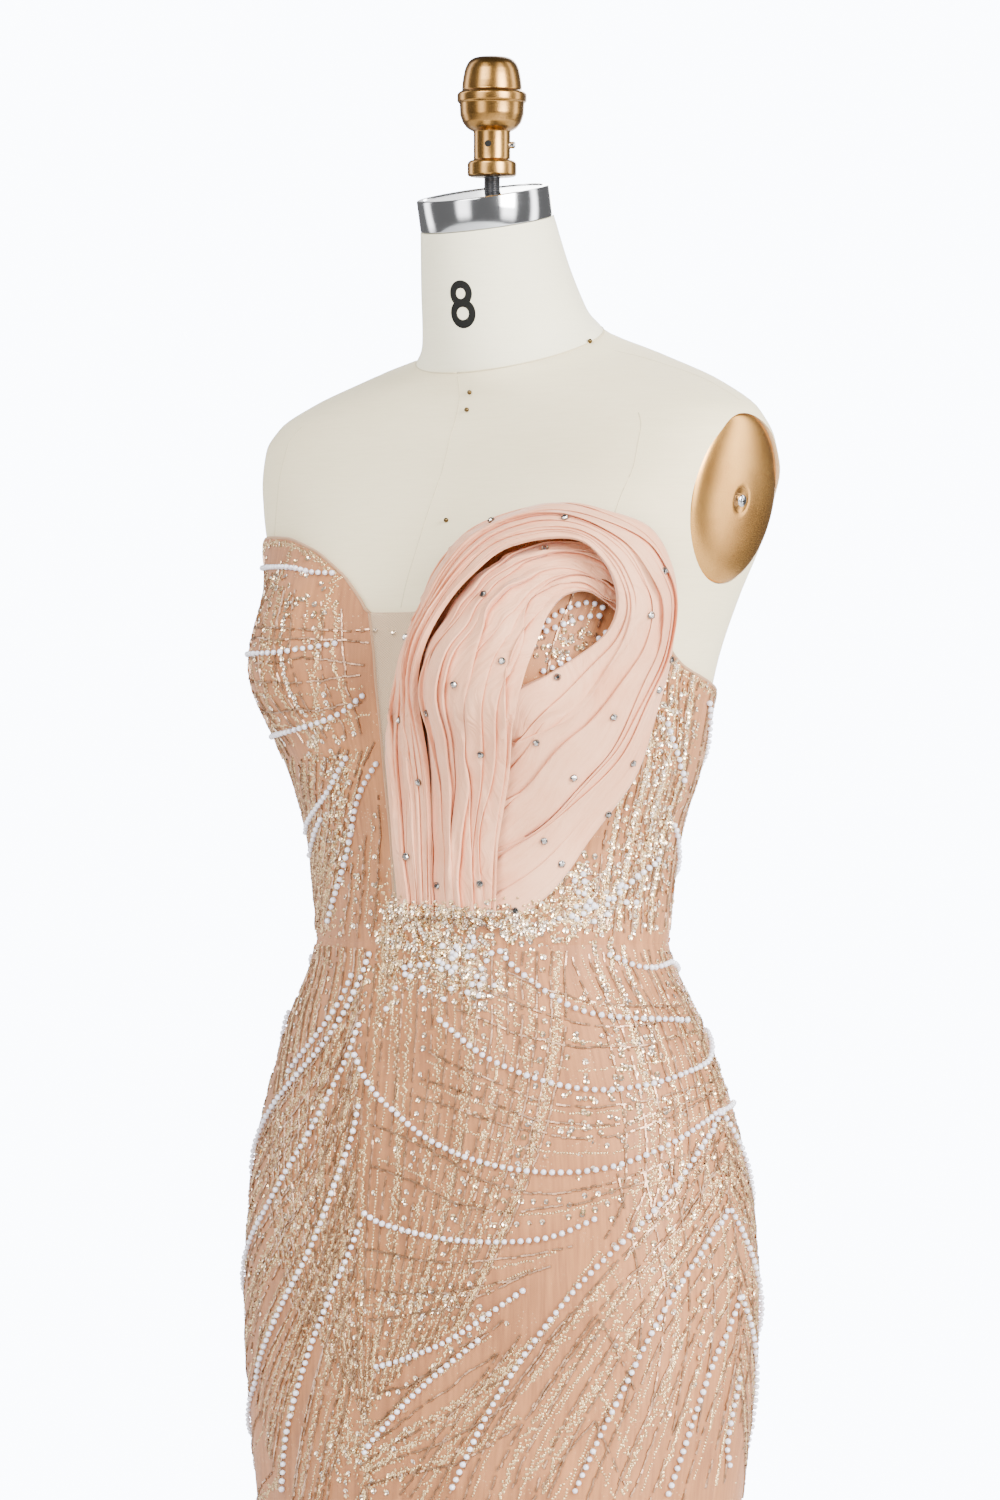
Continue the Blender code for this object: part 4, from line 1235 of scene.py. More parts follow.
@dataclass
class Gown:
    """Bodice panels, plunge insert, skirt panels and the bound top edge."""

    wardrobe: Wardrobe
    surface: GownSurface
    wall: float = 0.0009
    bodice_rows: int = 36
    skirt_rows: int = 86
    binding_radius: float = 0.0011

    def sheet_wall(self, name: str, angle: Grid, z: Grid, material: bpy.types.Material,
                   node: str) -> bpy.types.Object:
        """A thin cloth wall on the gown's surface.

        Args:
            name: the piece's name.
            angle: grid of angles.
            z: grid of heights.
            material: its finish.
            node: the solid that it replaces.

        Returns:
            The object.
        """
        outer = self.surface.at(angle, z)
        inner = self.surface.at(angle, z, -self.wall)
        pattern = np.stack([angle * GownSurface.PATTERN_RADIUS, z], -1)
        piece = add_wall(name, outer, inner, material, pattern, sharp=60.0)
        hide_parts(node)
        return piece

    def bodice_panel(self, left: Callable[[Grid], Grid], right: Callable[[Grid], Grid],
                     columns: int) -> Tuple[Grid, Grid]:
        """Angles and heights of a bodice panel between two seam lines.

        Args:
            left: angle of the left seam at a height.
            right: angle of the right seam at a height.
            columns: columns of the grid.

        Returns:
            Grids of angles and heights.
        """
        bottom = GownSurface.WAIST_Z
        rows = np.linspace(0, 1, self.bodice_rows)[:, None]
        even = np.linspace(0, 1, columns)[None, :]
        across = 0.5 * even + 0.5 * (0.5 - 0.5 * np.cos(math.pi * even))
        z = np.broadcast_to(bottom + rows * (GownSurface.INSERT_TOP_Z - bottom), (self.bodice_rows, columns))
        for _ in range(6):
            angle = left(z) + (right(z) - left(z)) * across
            top = self.surface.neckline(angle[-1:, :])
            z = bottom + rows * (top - bottom)
        return left(z) + (right(z) - left(z)) * across, z

    def build_bodice(self) -> None:
        """The insert and six beaded panels."""
        def line(degrees: float) -> Callable[[Grid], Grid]:
            return lambda z: np.full(np.shape(z), math.radians(degrees))

        princess, side, back = GownSurface.SEAMS
        plunge = self.surface.plunge
        panels = (
            ("bodice_front_left", plunge, line(princess), 36, (0.18, 0.27), 0.04),
            ("bodice_side_left", line(princess), line(side), 18, (0.085, 0.26), 0.0145),
            ("bodice_back_left", line(side), line(back), 34, (0.172, 0.185), 0.031),
            ("bodice_front_right", line(-princess), lambda z: -plunge(z), 36, (0.18, 0.27), 0.04),
            ("bodice_side_right", line(-side), line(-princess), 18, (0.085, 0.26), 0.0145),
            ("bodice_back_right", line(-back), line(-side), 34, (0.172, 0.185), 0.031),
        )
        for node, left, right, columns, flat, area in panels:
            angle, z = self.bodice_panel(left, right, columns)
            piece = self.sheet_wall("satin_" + node, angle, z, self.wardrobe.satin, node)
        angle, z = self.bodice_panel(lambda z: -plunge(z), plunge, 9)
        insert = self.sheet_wall("mesh_insert", angle, z, self.wardrobe.mesh, "plunge_insert")

    def build_skirt(self) -> None:
        """The skirt's front and two backs, from waist to hem."""
        side, back = GownSurface.SEAMS[1:]
        panels = (("skirt_front", -side, side, 99, (1.0, 1.075), 0.66), ("skirt_back_left", side, back, 50,
                   (0.5, 1.075), 0.33), ("skirt_back_right", -back, -side, 50, (0.5, 1.075), 0.33))
        rows = np.linspace(0, 1, self.skirt_rows)
        heights = GownSurface.HEM_Z + (GownSurface.WAIST_Z - GownSurface.HEM_Z) * rows
        for node, left, right, columns, flat, area in panels:
            turn = np.radians(np.linspace(left, right, columns))
            angle, z = np.meshgrid(turn, heights)
            piece = self.sheet_wall("satin_" + node, angle, z, self.wardrobe.satin, node)

    def build_edges(self) -> None:
        """Bound top edge, the insert's fine fold and the narrow hem."""
        routes = []
        for sign in (1, -1):
            angle = sign * np.radians(np.linspace(5.0, 179.6, 150))
            routes.append(("binding_left" if sign > 0 else "binding_right", angle,
                           self.surface.neckline(angle) - 0.0004, self.binding_radius, self.wardrobe.binding))
            z = np.linspace(GownSurface.WAIST_Z + 0.004, GownSurface.INSERT_TOP_Z, 60)
            routes.append(("plunge_edge_left" if sign > 0 else "plunge_edge_right",
                           sign * (self.surface.plunge(z) + 0.004), z, 0.0009, self.wardrobe.binding))
        fold = np.radians(np.linspace(-5.0, 5.0, 15))
        routes.append(("insert_fold", fold, np.full(15, GownSurface.INSERT_TOP_Z - 0.0004), 0.0006,
                       self.wardrobe.mesh))
        hem = np.radians(np.linspace(-180.0, 180.0, 241))
        routes.append(("hem_edge", hem, np.full(241, GownSurface.HEM_Z + 0.0012), 0.0011,
                       self.wardrobe.binding))
        for name, angle, z, radius, material in routes:
            points, faces = tube(self.surface.at(angle, z, -self.wall / 2), radius, 8)
            add_piece(name, points, faces, material, turn_out=True)

    def build(self) -> None:
        """Build all the cloth of the gown but the rosette."""
        self.build_bodice()
        self.build_skirt()
        self.build_edges()


# The chiffon rosette


@dataclass
class PleatedBand:
    """One chiffon band laid in uneven knife pleats along its length."""

    wardrobe: Wardrobe
    figure: Figure
    name: str
    node: str
    # Inner edge's angle, height and stand-off, then the outer edge's, then how far the middle crowns
    sections: Tuple[Tuple[float, ...], ...]
    pleats: int
    rows: int
    flat: Place
    rise: float
    cloth: float = 0.0003
    steps: Tuple[Place, ...] = (
        (0.0, 0.05), (0.08, 0.3), (0.2, 0.52), (0.42, 0.66), (0.66, 0.78), (0.86, 0.92), (0.96, 1.0),
        (1.0, 0.9), (0.965, 0.62), (0.9, 0.34), (0.82, 0.08),
    )
    overlap: float = 0.34
    # Below 1, the first third's pleats bunch away from the outer edge, which leaves broad ribbons along it
    bunching: float = 1.0
    unevenness: float = 0.5
    seed: int = 3
    cross_creases: int = 34

    def edges(self, share: Grid) -> Grid:
        """Where each pleat starts across the band, drifting along its length.

        Args:
            share: 0 to 1 along the band.

        Returns:
            A row of starts for each place along it.
        """
        draw = np.random.default_rng(self.seed)
        number = np.arange(self.pleats + 1)[None, :]
        waves = draw.uniform(0.7, 2.1, self.pleats + 1), draw.uniform(0, 2 * math.pi, self.pleats + 1)
        drift = np.sin(2 * math.pi * share[:, None] * waves[0] + waves[1])
        drift = drift + 0.45 * np.sin(4.4 * math.pi * share[:, None] * waves[0] + 2.3 * waves[1])
        drift = 0.9 * drift + draw.uniform(-0.7, 0.7, self.pleats + 1)
        inside = (number > 0) & (number < self.pleats)
        even = (number + np.where(inside, self.unevenness * drift, 0.0)) / self.pleats
        bunch = self.bunching + (1 - self.bunching) * smooth_step((share[:, None] - 0.3) / 0.22)
        return np.clip(even, 0.0, 1.0) ** bunch

    def heights(self, share: Grid) -> Grid:
        """How far each pleat's edge stands up, fading and coming back along the band."""
        draw = np.random.default_rng(self.seed + 7)
        speed, start = draw.uniform(1.0, 2.4, self.pleats), draw.uniform(0, 2 * math.pi, self.pleats)
        swell = (0.5 + 0.5 * np.sin(2 * math.pi * share[:, None] * speed + start)) ** 1.3
        return self.rise * draw.uniform(0.7, 1.25, self.pleats) * (0.5 + 0.5 * swell)

    def crossings(self, v: Grid, share: Grid) -> Grid:
        """Short sharp creases that run a little across the pleats, steep on one side.

        Args:
            v: 0 at the inner edge to 1 at the outer edge.
            share: 0 to 1 along the band.

        Returns:
            Their heights.
        """
        draw = np.random.default_rng(self.seed + 13)
        total = np.zeros_like(v)
        for _ in range(self.cross_creases):
            start, length = draw.uniform(-0.08, 0.92), draw.uniform(0.1, 0.3)
            line = draw.uniform(0.04, 0.96) + draw.uniform(-1.3, 1.3) * (share - start)
            offset = (v - line) / draw.uniform(0.018, 0.04)
            ridge = np.where(offset > 0, np.exp(-offset), np.exp(-(2.5 * offset) ** 2))
            fade = np.sin(math.pi * np.clip((share - start) / length, 0, 1))
            total = total + draw.uniform(0.0012, 0.0034) * ridge * fade
        return total

    def build(self) -> bpy.types.Object:
        """Build the band.

        Returns:
            The object.
        """
        table = through(self.sections, self.rows)
        share = np.linspace(0, 1, self.rows)
        edges, heights = self.edges(share), self.heights(share)
        profile = np.array(self.steps)
        across, lifts = [], []
        for k in range(self.pleats):
            width = (edges[:, k + 1] - edges[:, k])[:, None]
            reach = 1 + (self.overlap if k < self.pleats - 1 else 0.0)
            across.append(edges[:, k:k + 1] + width * profile[None, :, 0] * reach)
            lifts.append(heights[:, k:k + 1] * profile[None, :, 1])
        across.append(np.full((self.rows, 1), 1.0))
        lifts.append(np.zeros((self.rows, 1)))
        v, lift = 1 - np.concatenate(across, 1), np.concatenate(lifts, 1)
        columns = v.shape[1]
        inner = [table[:, i:i + 1] for i in range(3)]
        outer = [table[:, i:i + 1] for i in range(3, 6)]
        run = share[:, None]
        outer[0] = outer[0] + 0.45 * np.sin(run * 31.0) + 0.25 * np.sin(run * 71.0 + 1.0)
        angle, z, stand = (a * (1 - v) + b * v for a, b in zip(inner, outer))
        stand = stand + table[:, 6:7] * 4 * v * (1 - v)
        ripple = 0.0005 * np.sin(v * 44.0 + 3.1 * np.sin(run * 13.0 + v * 5.0)) * np.sin(run * 19.0 + v * 7.0)
        ripple = ripple + 0.00028 * np.sin(v * 83.0 + 2.2 * np.sin(run * 29.0))
        top = self.figure.off(np.radians(angle), z, stand - 0.0008 + lift + ripple + self.crossings(v, run))
        along, over = np.gradient(top, axis=0), np.gradient(top, axis=1)
        facing = unit(np.cross(over, along))
        flat_way = self.figure.normal(np.radians(angle[:, :1]), z[:, :1])
        facing = facing * np.sign(np.mean(np.sum(facing * flat_way, axis=-1)))
        under = top - facing * self.cloth
        length = run_along(top[:, columns // 2])
        girth = np.cumsum(np.linalg.norm(np.diff(top, axis=1, prepend=top[:, :1]), axis=-1), axis=1)
        pattern = np.stack([girth, np.broadcast_to(length[:, None], girth.shape)], -1)
        piece = add_wall(self.name, top, under, self.wardrobe.chiffon, pattern)
        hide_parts(self.node)
        return piece


@dataclass
class Rosette:
    """Both chiffon bands and the stones set on them."""

    wardrobe: Wardrobe
    figure: Figure
    stone_radius: float = 0.0023
    stones: Tuple[Place, ...] = (
        (19, 1.342), (36, 1.344), (34, 1.327), (65, 1.326), (28, 1.297), (64, 1.295), (11, 1.276),
        (36, 1.263), (28, 1.253), (48, 1.255), (76, 1.268), (74, 1.249), (19, 1.236), (62, 1.233), (8, 1.229),
        (31, 1.215), (43, 1.217), (70, 1.202), (53, 1.194), (12, 1.189), (66, 1.168), (47, 1.15), (6, 1.138),
        (53, 1.134), (15, 1.119), (29, 1.121), (39, 1.103),
    )
    outer_sections: Tuple[Tuple[float, ...], ...] = (
        (13.0, 1.1, 0.0099, 0.8, 1.1, 0.0065, 0.001), (13.5, 1.15, 0.0118, -0.4, 1.15, 0.007, 0.002),
        (14.5, 1.205, 0.014, 0.2, 1.205, 0.0075, 0.003), (17.5, 1.25, 0.0162, 4.8, 1.245, 0.008, 0.003),
        (21.5, 1.284, 0.0205, 8.8, 1.282, 0.0085, 0.003), (24.5, 1.304, 0.0255, 8.5, 1.318, 0.009, 0.003),
        (28.0, 1.32, 0.0295, 12.0, 1.345, 0.009, 0.005), (35.0, 1.329, 0.032, 25.0, 1.362, 0.009, 0.008),
        (43.0, 1.331, 0.033, 43.0, 1.359, 0.009, 0.01), (51.0, 1.318, 0.032, 60.5, 1.348, 0.009, 0.012),
        (55.5, 1.298, 0.029, 72.5, 1.319, 0.009, 0.014), (56.0, 1.281, 0.019, 79.0, 1.275, 0.009, 0.015),
        (52.0, 1.267, 0.009, 79.0, 1.232, 0.009, 0.012), (46.0, 1.256, 0.007, 73.0, 1.19, 0.009, 0.008),
        (40.0, 1.249, 0.0065, 61.5, 1.151, 0.008, 0.005), (35.0, 1.24, 0.006, 50.0, 1.113, 0.0075, 0.003),
        (29.5, 1.226, 0.0056, 31.5, 1.089, 0.006, 0.001),
    )
    inner_sections: Tuple[Tuple[float, ...], ...] = (
        (33.5, 1.1, 0.0125, 11.8, 1.1, 0.0066, 0.002), (33.8, 1.15, 0.014, 12.3, 1.15, 0.0078, 0.003),
        (36.5, 1.203, 0.015, 13.2, 1.205, 0.009, 0.004), (39.2, 1.246, 0.015, 16.0, 1.25, 0.0105, 0.004),
        (41.0, 1.27, 0.0145, 19.5, 1.284, 0.012, 0.004), (41.6, 1.29, 0.014, 22.0, 1.306, 0.0125, 0.004),
        (43.5, 1.302, 0.014, 26.0, 1.325, 0.013, 0.004), (48.5, 1.306, 0.013, 35.0, 1.336, 0.013, 0.003),
        (54.0, 1.301, 0.011, 45.5, 1.335, 0.012, 0.002), (58.0, 1.296, 0.009, 54.5, 1.324, 0.01, 0.001),
    )

    def build(self) -> BVHTree:
        """Build bands and stones.

        Returns:
            A tree of the bands' faces, for what is sewn on or lies under them.
        """
        bands = (
            PleatedBand(self.wardrobe, self.figure, "chiffon_outer_band", "rosette_outer_band",
                        self.outer_sections, 10, 180, (0.13, 0.76), 0.005, bunching=0.6, seed=3),
            PleatedBand(self.wardrobe, self.figure, "chiffon_inner_band", "rosette_inner_band",
                        self.inner_sections, 10, 110, (0.13, 0.33), 0.006, seed=11, cross_creases=20),
        )
        points: List[Vector] = []
        faces: List[Tuple[int, ...]] = []
        for band in bands:
            piece = band.build()
            start = len(points)
            points += [vert.co.copy() for vert in piece.data.vertices]
            faces += [tuple(start + i for i in face.vertices) for face in piece.data.polygons]
        tree = BVHTree.FromPolygons(points, faces)
        self.build_stones(tree)
        return tree

    def build_stones(self, tree: BVHTree) -> None:
        """Faceted stones in small prong settings.

        Args:
            tree: the bands' faces, which the stones are set on.
        """
        spots, ways = [], []
        for angle, z in self.stones:
            turn = np.array(math.radians(angle))
            start = Vector(self.figure.off(turn, np.array(z), np.array(0.06)))
            way = -Vector(self.figure.normal(turn, np.array(z)))
            hit = tree.ray_cast(start, way, 0.06)
            if hit[0] is None:
                continue
            facing = hit[1] if hit[1].dot(way) < 0 else -hit[1]
            spots.append(hit[0])
            ways.append((facing - way).normalized())
        count = len(spots)
        draw = np.random.default_rng(23)
        field = BeadField(np.array([tuple(spot) for spot in spots]), np.array([tuple(way) for way in ways]),
                          draw.normal(size=(count, 3)), np.full(count, self.stone_radius))
        rows = ((0.55, 0.1), (0.92, 0.55), (0.92, 0.66), (0.56, 0.98))
        add_beads("cut_stones", field, lathe_template(rows, 8), self.wardrobe.stone, sharp=12.0)
        rows = ((0.6, 0.0), (1.02, 0.05), (1.05, 0.5), (0.9, 0.58))
        add_beads("stone_cups", field, lathe_template(rows, 12), self.wardrobe.setting, sharp=35.0)
        for turn in range(4):
            angle = turn * math.pi / 2 + 0.4
            shift = (0.93 * math.cos(angle), 0.93 * math.sin(angle), 0.62)
            prong = lathe_template(((0.16, -0.35), (0.18, 0.1), (0.09, 0.24)), 6, shift)
            add_beads("stone_prongs_%d" % turn, field, prong, self.wardrobe.setting)


# Beads


@dataclass
class BeadField:
    """Where beads sit: their feet, ways out, ways along and sizes."""

    feet: Grid
    out: Grid
    along: Grid
    size: Grid

    def joined(self, other: "BeadField") -> "BeadField":
        """Both fields as one."""
        return BeadField(*(np.concatenate([getattr(self, key), getattr(other, key)])
                           for key in ("feet", "out", "along", "size")))

    def chosen(self, keep: Grid) -> "BeadField":
        """The part of the field that a mask keeps."""
        return BeadField(self.feet[keep], self.out[keep], self.along[keep], self.size[keep])


@dataclass
class Template:
    """A small mesh in units of a bead's size: +X along the strand, +Z out of the cloth."""

    points: Grid
    faces: List[Tuple[int, ...]]


def lathe_template(profile: Sequence[Place], sides: int, shift: Tuple[float, float, float] = (0, 0, 0),
                   cap_ends: bool = True) -> Template:
    """A turned bead.

    Args:
        profile: (radius, height) from its foot to its top; a radius of 0 makes a point.
        sides: number of sides.
        shift: where its axis stands.
        cap_ends: whether open ends are closed.

    Returns:
        The template.
    """
    points: List[Tuple[float, float, float]] = []
    rings: List[List[int]] = []
    for radius, height in profile:
        if radius == 0:
            rings.append([len(points)] * sides)
            points.append((0.0, 0.0, height))
            continue
        rings.append(list(range(len(points), len(points) + sides)))
        for k in range(sides):
            turn = 2 * math.pi * k / sides
            points.append((radius * math.cos(turn), radius * math.sin(turn), height))
    faces: List[Tuple[int, ...]] = []
    for low, high in zip(rings, rings[1:]):
        for k in range(sides):
            j = (k + 1) % sides
            corners = (low[k], low[j], high[j], high[k])
            faces.append(tuple(dict.fromkeys(corners)))
    if cap_ends and profile[0][0] > 0:
        faces.append(tuple(reversed(rings[0])))
    if cap_ends and profile[-1][0] > 0:
        faces.append(tuple(rings[-1]))
    return Template(np.array(points) + np.array(shift), faces)


def half_tube_template(radius: float, length: float) -> Template:
    """The outer half of a short glass tube that lies along its strand."""
    across = ((-radius, -0.1), (-0.62 * radius, 1.2 * radius), (0.62 * radius, 1.2 * radius), (radius, -0.1))
    points = [(end * length / 2, y, z) for end in (-1, 1) for y, z in across]
    return Template(np.array(points), [(k + 1, k, k + 4, k + 5) for k in range(3)])


def add_beads(name: str, field: BeadField, template: Template, material: bpy.types.Material,
              sharp: float = 180.0) -> Optional[bpy.types.Object]:
    """One joined mesh with a copy of a bead at each place of a field.

    Args:
        name: the piece's name.
        field: the places.
        template: the bead.
        material: its finish.
        sharp: edges bent by more degrees than this stay crisp.

    Returns:
        The object, or None for an empty field.
    """
    count = len(field.feet)
    if not count:
        return None
    out = unit(field.out)
    along = unit(field.along - out * np.sum(field.along * out, axis=-1, keepdims=True))
    side = np.cross(out, along)
    axes = np.stack([along, side, out], -1)
    local = np.einsum("nij,pj->npi", axes, template.points) * field.size[:, None, None]
    points = (field.feet[:, None] + local).reshape(-1, 3)
    sizes = np.array([len(face) for face in template.faces])
    corners = np.concatenate([np.array(face) for face in template.faces])
    shift = np.arange(count)[:, None] * len(template.points)
    mesh = bpy.data.meshes.new(name)
    mesh.vertices.add(len(points))
    mesh.vertices.foreach_set("co", points.ravel().astype(np.float32))
    mesh.loops.add(count * len(corners))
    mesh.loops.foreach_set("vertex_index", (corners[None] + shift).ravel().astype(np.int32))
    mesh.polygons.add(count * len(sizes))
    totals = np.tile(sizes, count)
    starts = np.concatenate([[0], np.cumsum(totals)[:-1]])
    mesh.polygons.foreach_set("loop_start", starts.astype(np.int32))
    mesh.update(calc_edges=True)
    mesh.validate()
    mesh.shade_smooth()
    if sharp < 180.0:
        mesh.set_sharp_from_angle(angle=math.radians(sharp))
    mesh.materials.append(material)
    piece = bpy.data.objects.new(name, mesh)
    bpy.context.scene.collection.objects.link(piece)
    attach(piece, FORM_BODY)
    LOG.info("%s: %d beads, %d triangles", name, count, count * int((sizes - 2).sum()))
    return piece


class Bead(Enum):
    """Kinds of bead on the net."""

    PEARL = "pearls"
    ROPE = "seed_ropes"
    THREAD = "gold_threads"
    BRONZE = "bronze_tubes"
    SEQUIN = "sequin_rows"
    SPARSE = "spaced_sequins"


@dataclass(frozen=True)
class BeadStyle:
    """How a kind of bead is strung."""

    size: float
    pitch: float
    width: float
    tilt: float
    gap_share: float


@dataclass(frozen=True)
class Strand:
    """One row of beads along a route of (angle, height)."""

    bead: Bead
    route: Tuple[Place, ...]


@dataclass(frozen=True)
class Family:
    """Rows spread evenly between a first and a last route."""

    beads: Tuple[Bead, ...]
    first: Tuple[Place, ...]
    last: Tuple[Place, ...]
    count: int
    jitter: float = 0.003

    def strands(self, draw: np.random.Generator) -> List[Strand]:
        """The rows.

        Args:
            draw: source of the small differences between rows.

        Returns:
            One strand for each row.
        """
        one, other = through(self.first, 9), through(self.last, 9)
        rows = []
        for k in range(self.count):
            share = (k + 0.5) / self.count
            route = one * (1 - share) + other * share
            shift = draw.normal(size=2) * self.jitter * np.array([200.0, 1.0])
            route = route + shift + draw.normal(size=route.shape) * np.array([0.25, 0.0006])
            rows.append(Strand(self.beads[k % len(self.beads)], tuple((a, z) for a, z in route)))
        return rows


# The beaded pattern: each row is a route of (degrees from the front, height in metres)

PEARL_ROWS_BODICE = (
    ((-56, 1.33), (-28, 1.326), (-19, 1.322), (-13, 1.321)),
    ((-44, 1.27), (-27, 1.27), (-20, 1.272), (-11, 1.276)),
    ((-48, 1.217), (-28, 1.222), (-13, 1.231), (-5, 1.244)), ((-12, 1.204), (-26, 1.176), (-52, 1.151)),
    ((-30, 1.163), (-50, 1.135)), ((-3, 1.2), (-12, 1.172), (-21, 1.131), (-34, 1.091)),
    ((41, 1.283), (44, 1.294), (50, 1.301), (56, 1.297)), ((42, 1.281), (50, 1.291), (56, 1.293)),
    ((44, 1.257), (48, 1.261), (54, 1.271), (59, 1.284)), ((84, 1.227), (90, 1.206), (98, 1.186)),
    ((95, 1.137), (81, 1.122), (70, 1.105)), ((104, 1.24), (122, 1.205), (146, 1.188), (174, 1.184)),
    ((100, 1.16), (124, 1.128), (150, 1.118), (174, 1.132)), ((-66, 1.325), (-74, 1.262), (-84, 1.2)),
    ((-84, 1.227), (-96, 1.2), (-108, 1.182)), ((-70, 1.105), (-84, 1.122), (-100, 1.137)),
    ((-104, 1.24), (-122, 1.205), (-146, 1.188), (-174, 1.184)),
    ((-100, 1.16), (-124, 1.128), (-150, 1.118), (-174, 1.132)),
)
PEARL_ROWS_SKIRT = (
    ((-11, 1.008), (-3, 0.981), (10, 0.951), (29, 0.936), (51, 0.936), (73, 0.95), (96, 0.97)),
    ((-10, 1.075), (-16, 1.039), (-26, 1.003), (-55, 0.944)), ((-17, 1.06), (-23, 1.027), (-38, 0.99)),
    ((-10, 1.028), (-14, 0.998), (-21, 0.956), (-35, 0.905), (-51, 0.87)),
    ((-7, 0.975), (-9, 0.941), (-17, 0.879), (-30, 0.827), (-45, 0.78)),
    ((-4, 0.904), (2, 0.895), (16, 0.889), (36, 0.892), (51, 0.906)),
    ((-4, 0.898), (-8, 0.867), (-19, 0.801), (-27, 0.75), (-30, 0.713)),
    ((-1, 0.803), (13, 0.823), (25, 0.847), (32, 0.86)), ((-3, 0.745), (3, 0.775), (11, 0.801), (21, 0.827)),
    ((98, 0.971), (76, 0.927), (50, 0.874), (36, 0.833), (25, 0.785), (16, 0.727)),
    ((94, 0.909), (70, 0.847), (56, 0.783), (47, 0.728)), ((97, 0.853), (86, 0.802), (75, 0.725)),
    ((98, 0.801), (95, 0.759), (98, 0.739)), ((33, 1.078), (41, 1.059), (58, 1.035), (98, 1.028)),
    ((32, 1.077), (21, 1.046)), ((12, 1.032), (27, 1.004), (48, 0.988), (70, 0.989), (101, 1.002)),
    ((71, 1.074), (87, 1.063), (108, 1.066)), ((101, 1.002), (126, 1.02), (152, 1.008), (176, 0.972)),
    ((96, 0.97), (124, 0.972), (150, 0.944), (176, 0.892)),
    ((98, 0.971), (120, 0.922), (146, 0.868), (176, 0.806)),
    ((94, 0.909), (118, 0.842), (150, 0.778), (176, 0.716)), ((97, 0.853), (116, 0.786), (140, 0.704)),
    ((108, 1.066), (134, 1.058), (160, 1.064), (177, 1.076)), ((-60, 1.068), (-82, 1.048), (-104, 1.052)),
    ((-58, 1.03), (-80, 0.992), (-104, 0.985)), ((-55, 0.944), (-76, 0.905), (-98, 0.893)),
    ((-51, 0.87), (-70, 0.836), (-96, 0.826)), ((-45, 0.78), (-64, 0.746), (-86, 0.732)),
    ((-104, 1.052), (-130, 1.046), (-156, 1.056), (-177, 1.074)),
    ((-104, 0.985), (-126, 1.004), (-152, 0.998), (-176, 0.964)),
    ((-98, 0.893), (-122, 0.928), (-150, 0.924), (-176, 0.88)),
    ((-96, 0.826), (-120, 0.862), (-148, 0.852), (-176, 0.796)),
    ((-86, 0.732), (-112, 0.764), (-146, 0.762), (-176, 0.706)),
    ((-60, 0.56), (-30, 0.604), (0, 0.566), (30, 0.604), (60, 0.56), (92, 0.602), (122, 0.562),
     (152, 0.604), (180, 0.566)), ((-60, 0.56), (-92, 0.602), (-122, 0.562), (-152, 0.604), (-180, 0.566)),
    ((0, 0.4), (36, 0.442), (72, 0.398), (108, 0.442), (144, 0.398), (180, 0.44)),
    ((0, 0.4), (-36, 0.442), (-72, 0.398), (-108, 0.442), (-144, 0.398), (-180, 0.44)),
    ((0, 0.24), (30, 0.205), (60, 0.24), (90, 0.205), (120, 0.24), (150, 0.205), (180, 0.24)),
    ((0, 0.24), (-30, 0.205), (-60, 0.24), (-90, 0.205), (-120, 0.24), (-150, 0.205), (-180, 0.24)),
    ((0, 0.03), (60, 0.03), (120, 0.03), (180, 0.03)), ((0, 0.03), (-60, 0.03), (-120, 0.03), (-180, 0.03)),
)
ROPE_ROWS = (
    ((-27, 1.345), (-31, 1.305), (-30, 1.27), (-33, 1.237), (-46, 1.195)),
    ((-13, 1.318), (-16, 1.282), (-17, 1.249), (-22, 1.212), (-25, 1.201)),
    ((0, 1.033), (2, 0.914), (1, 0.85), (-3, 0.787)), ((23, 1.037), (15, 0.935), (10, 0.882), (2, 0.801)),
    ((-23, 0.999), (-17, 0.943), (-11, 0.854), (-5, 0.786)),
    ((53, 1.074), (41, 0.998), (24, 0.884), (10, 0.803)), ((74, 1.078), (71, 1.019), (75, 0.943)),
    ((-3, 0.732), (18, 0.784), (31, 0.816)), ((-14, 0.819), (-4, 0.745)),
    ((120, 1.07), (124, 0.99), (118, 0.9), (108, 0.82)), ((150, 1.07), (156, 0.96), (150, 0.85)),
    ((-96, 1.072), (-92, 0.99), (-84, 0.9), (-80, 0.8)), ((-128, 1.07), (-132, 0.96), (-124, 0.85)),
    ((-158, 1.07), (-164, 0.96), (-160, 0.85), (-150, 0.74)), ((-60, 1.3), (-64, 1.23), (-72, 1.15)),
)
LINES = (Bead.BRONZE, Bead.THREAD, Bead.BRONZE, Bead.ROPE)
CUP_BEADS = (Bead.BRONZE, Bead.ROPE, Bead.BRONZE, Bead.SPARSE, Bead.THREAD, Bead.BRONZE, Bead.SEQUIN)
FAN_BEADS = LINES + (Bead.BRONZE, Bead.SPARSE, Bead.BRONZE, Bead.ROPE)
FINE = (Bead.BRONZE, Bead.THREAD)
GLITTER = (Bead.BRONZE, Bead.SPARSE, Bead.THREAD)
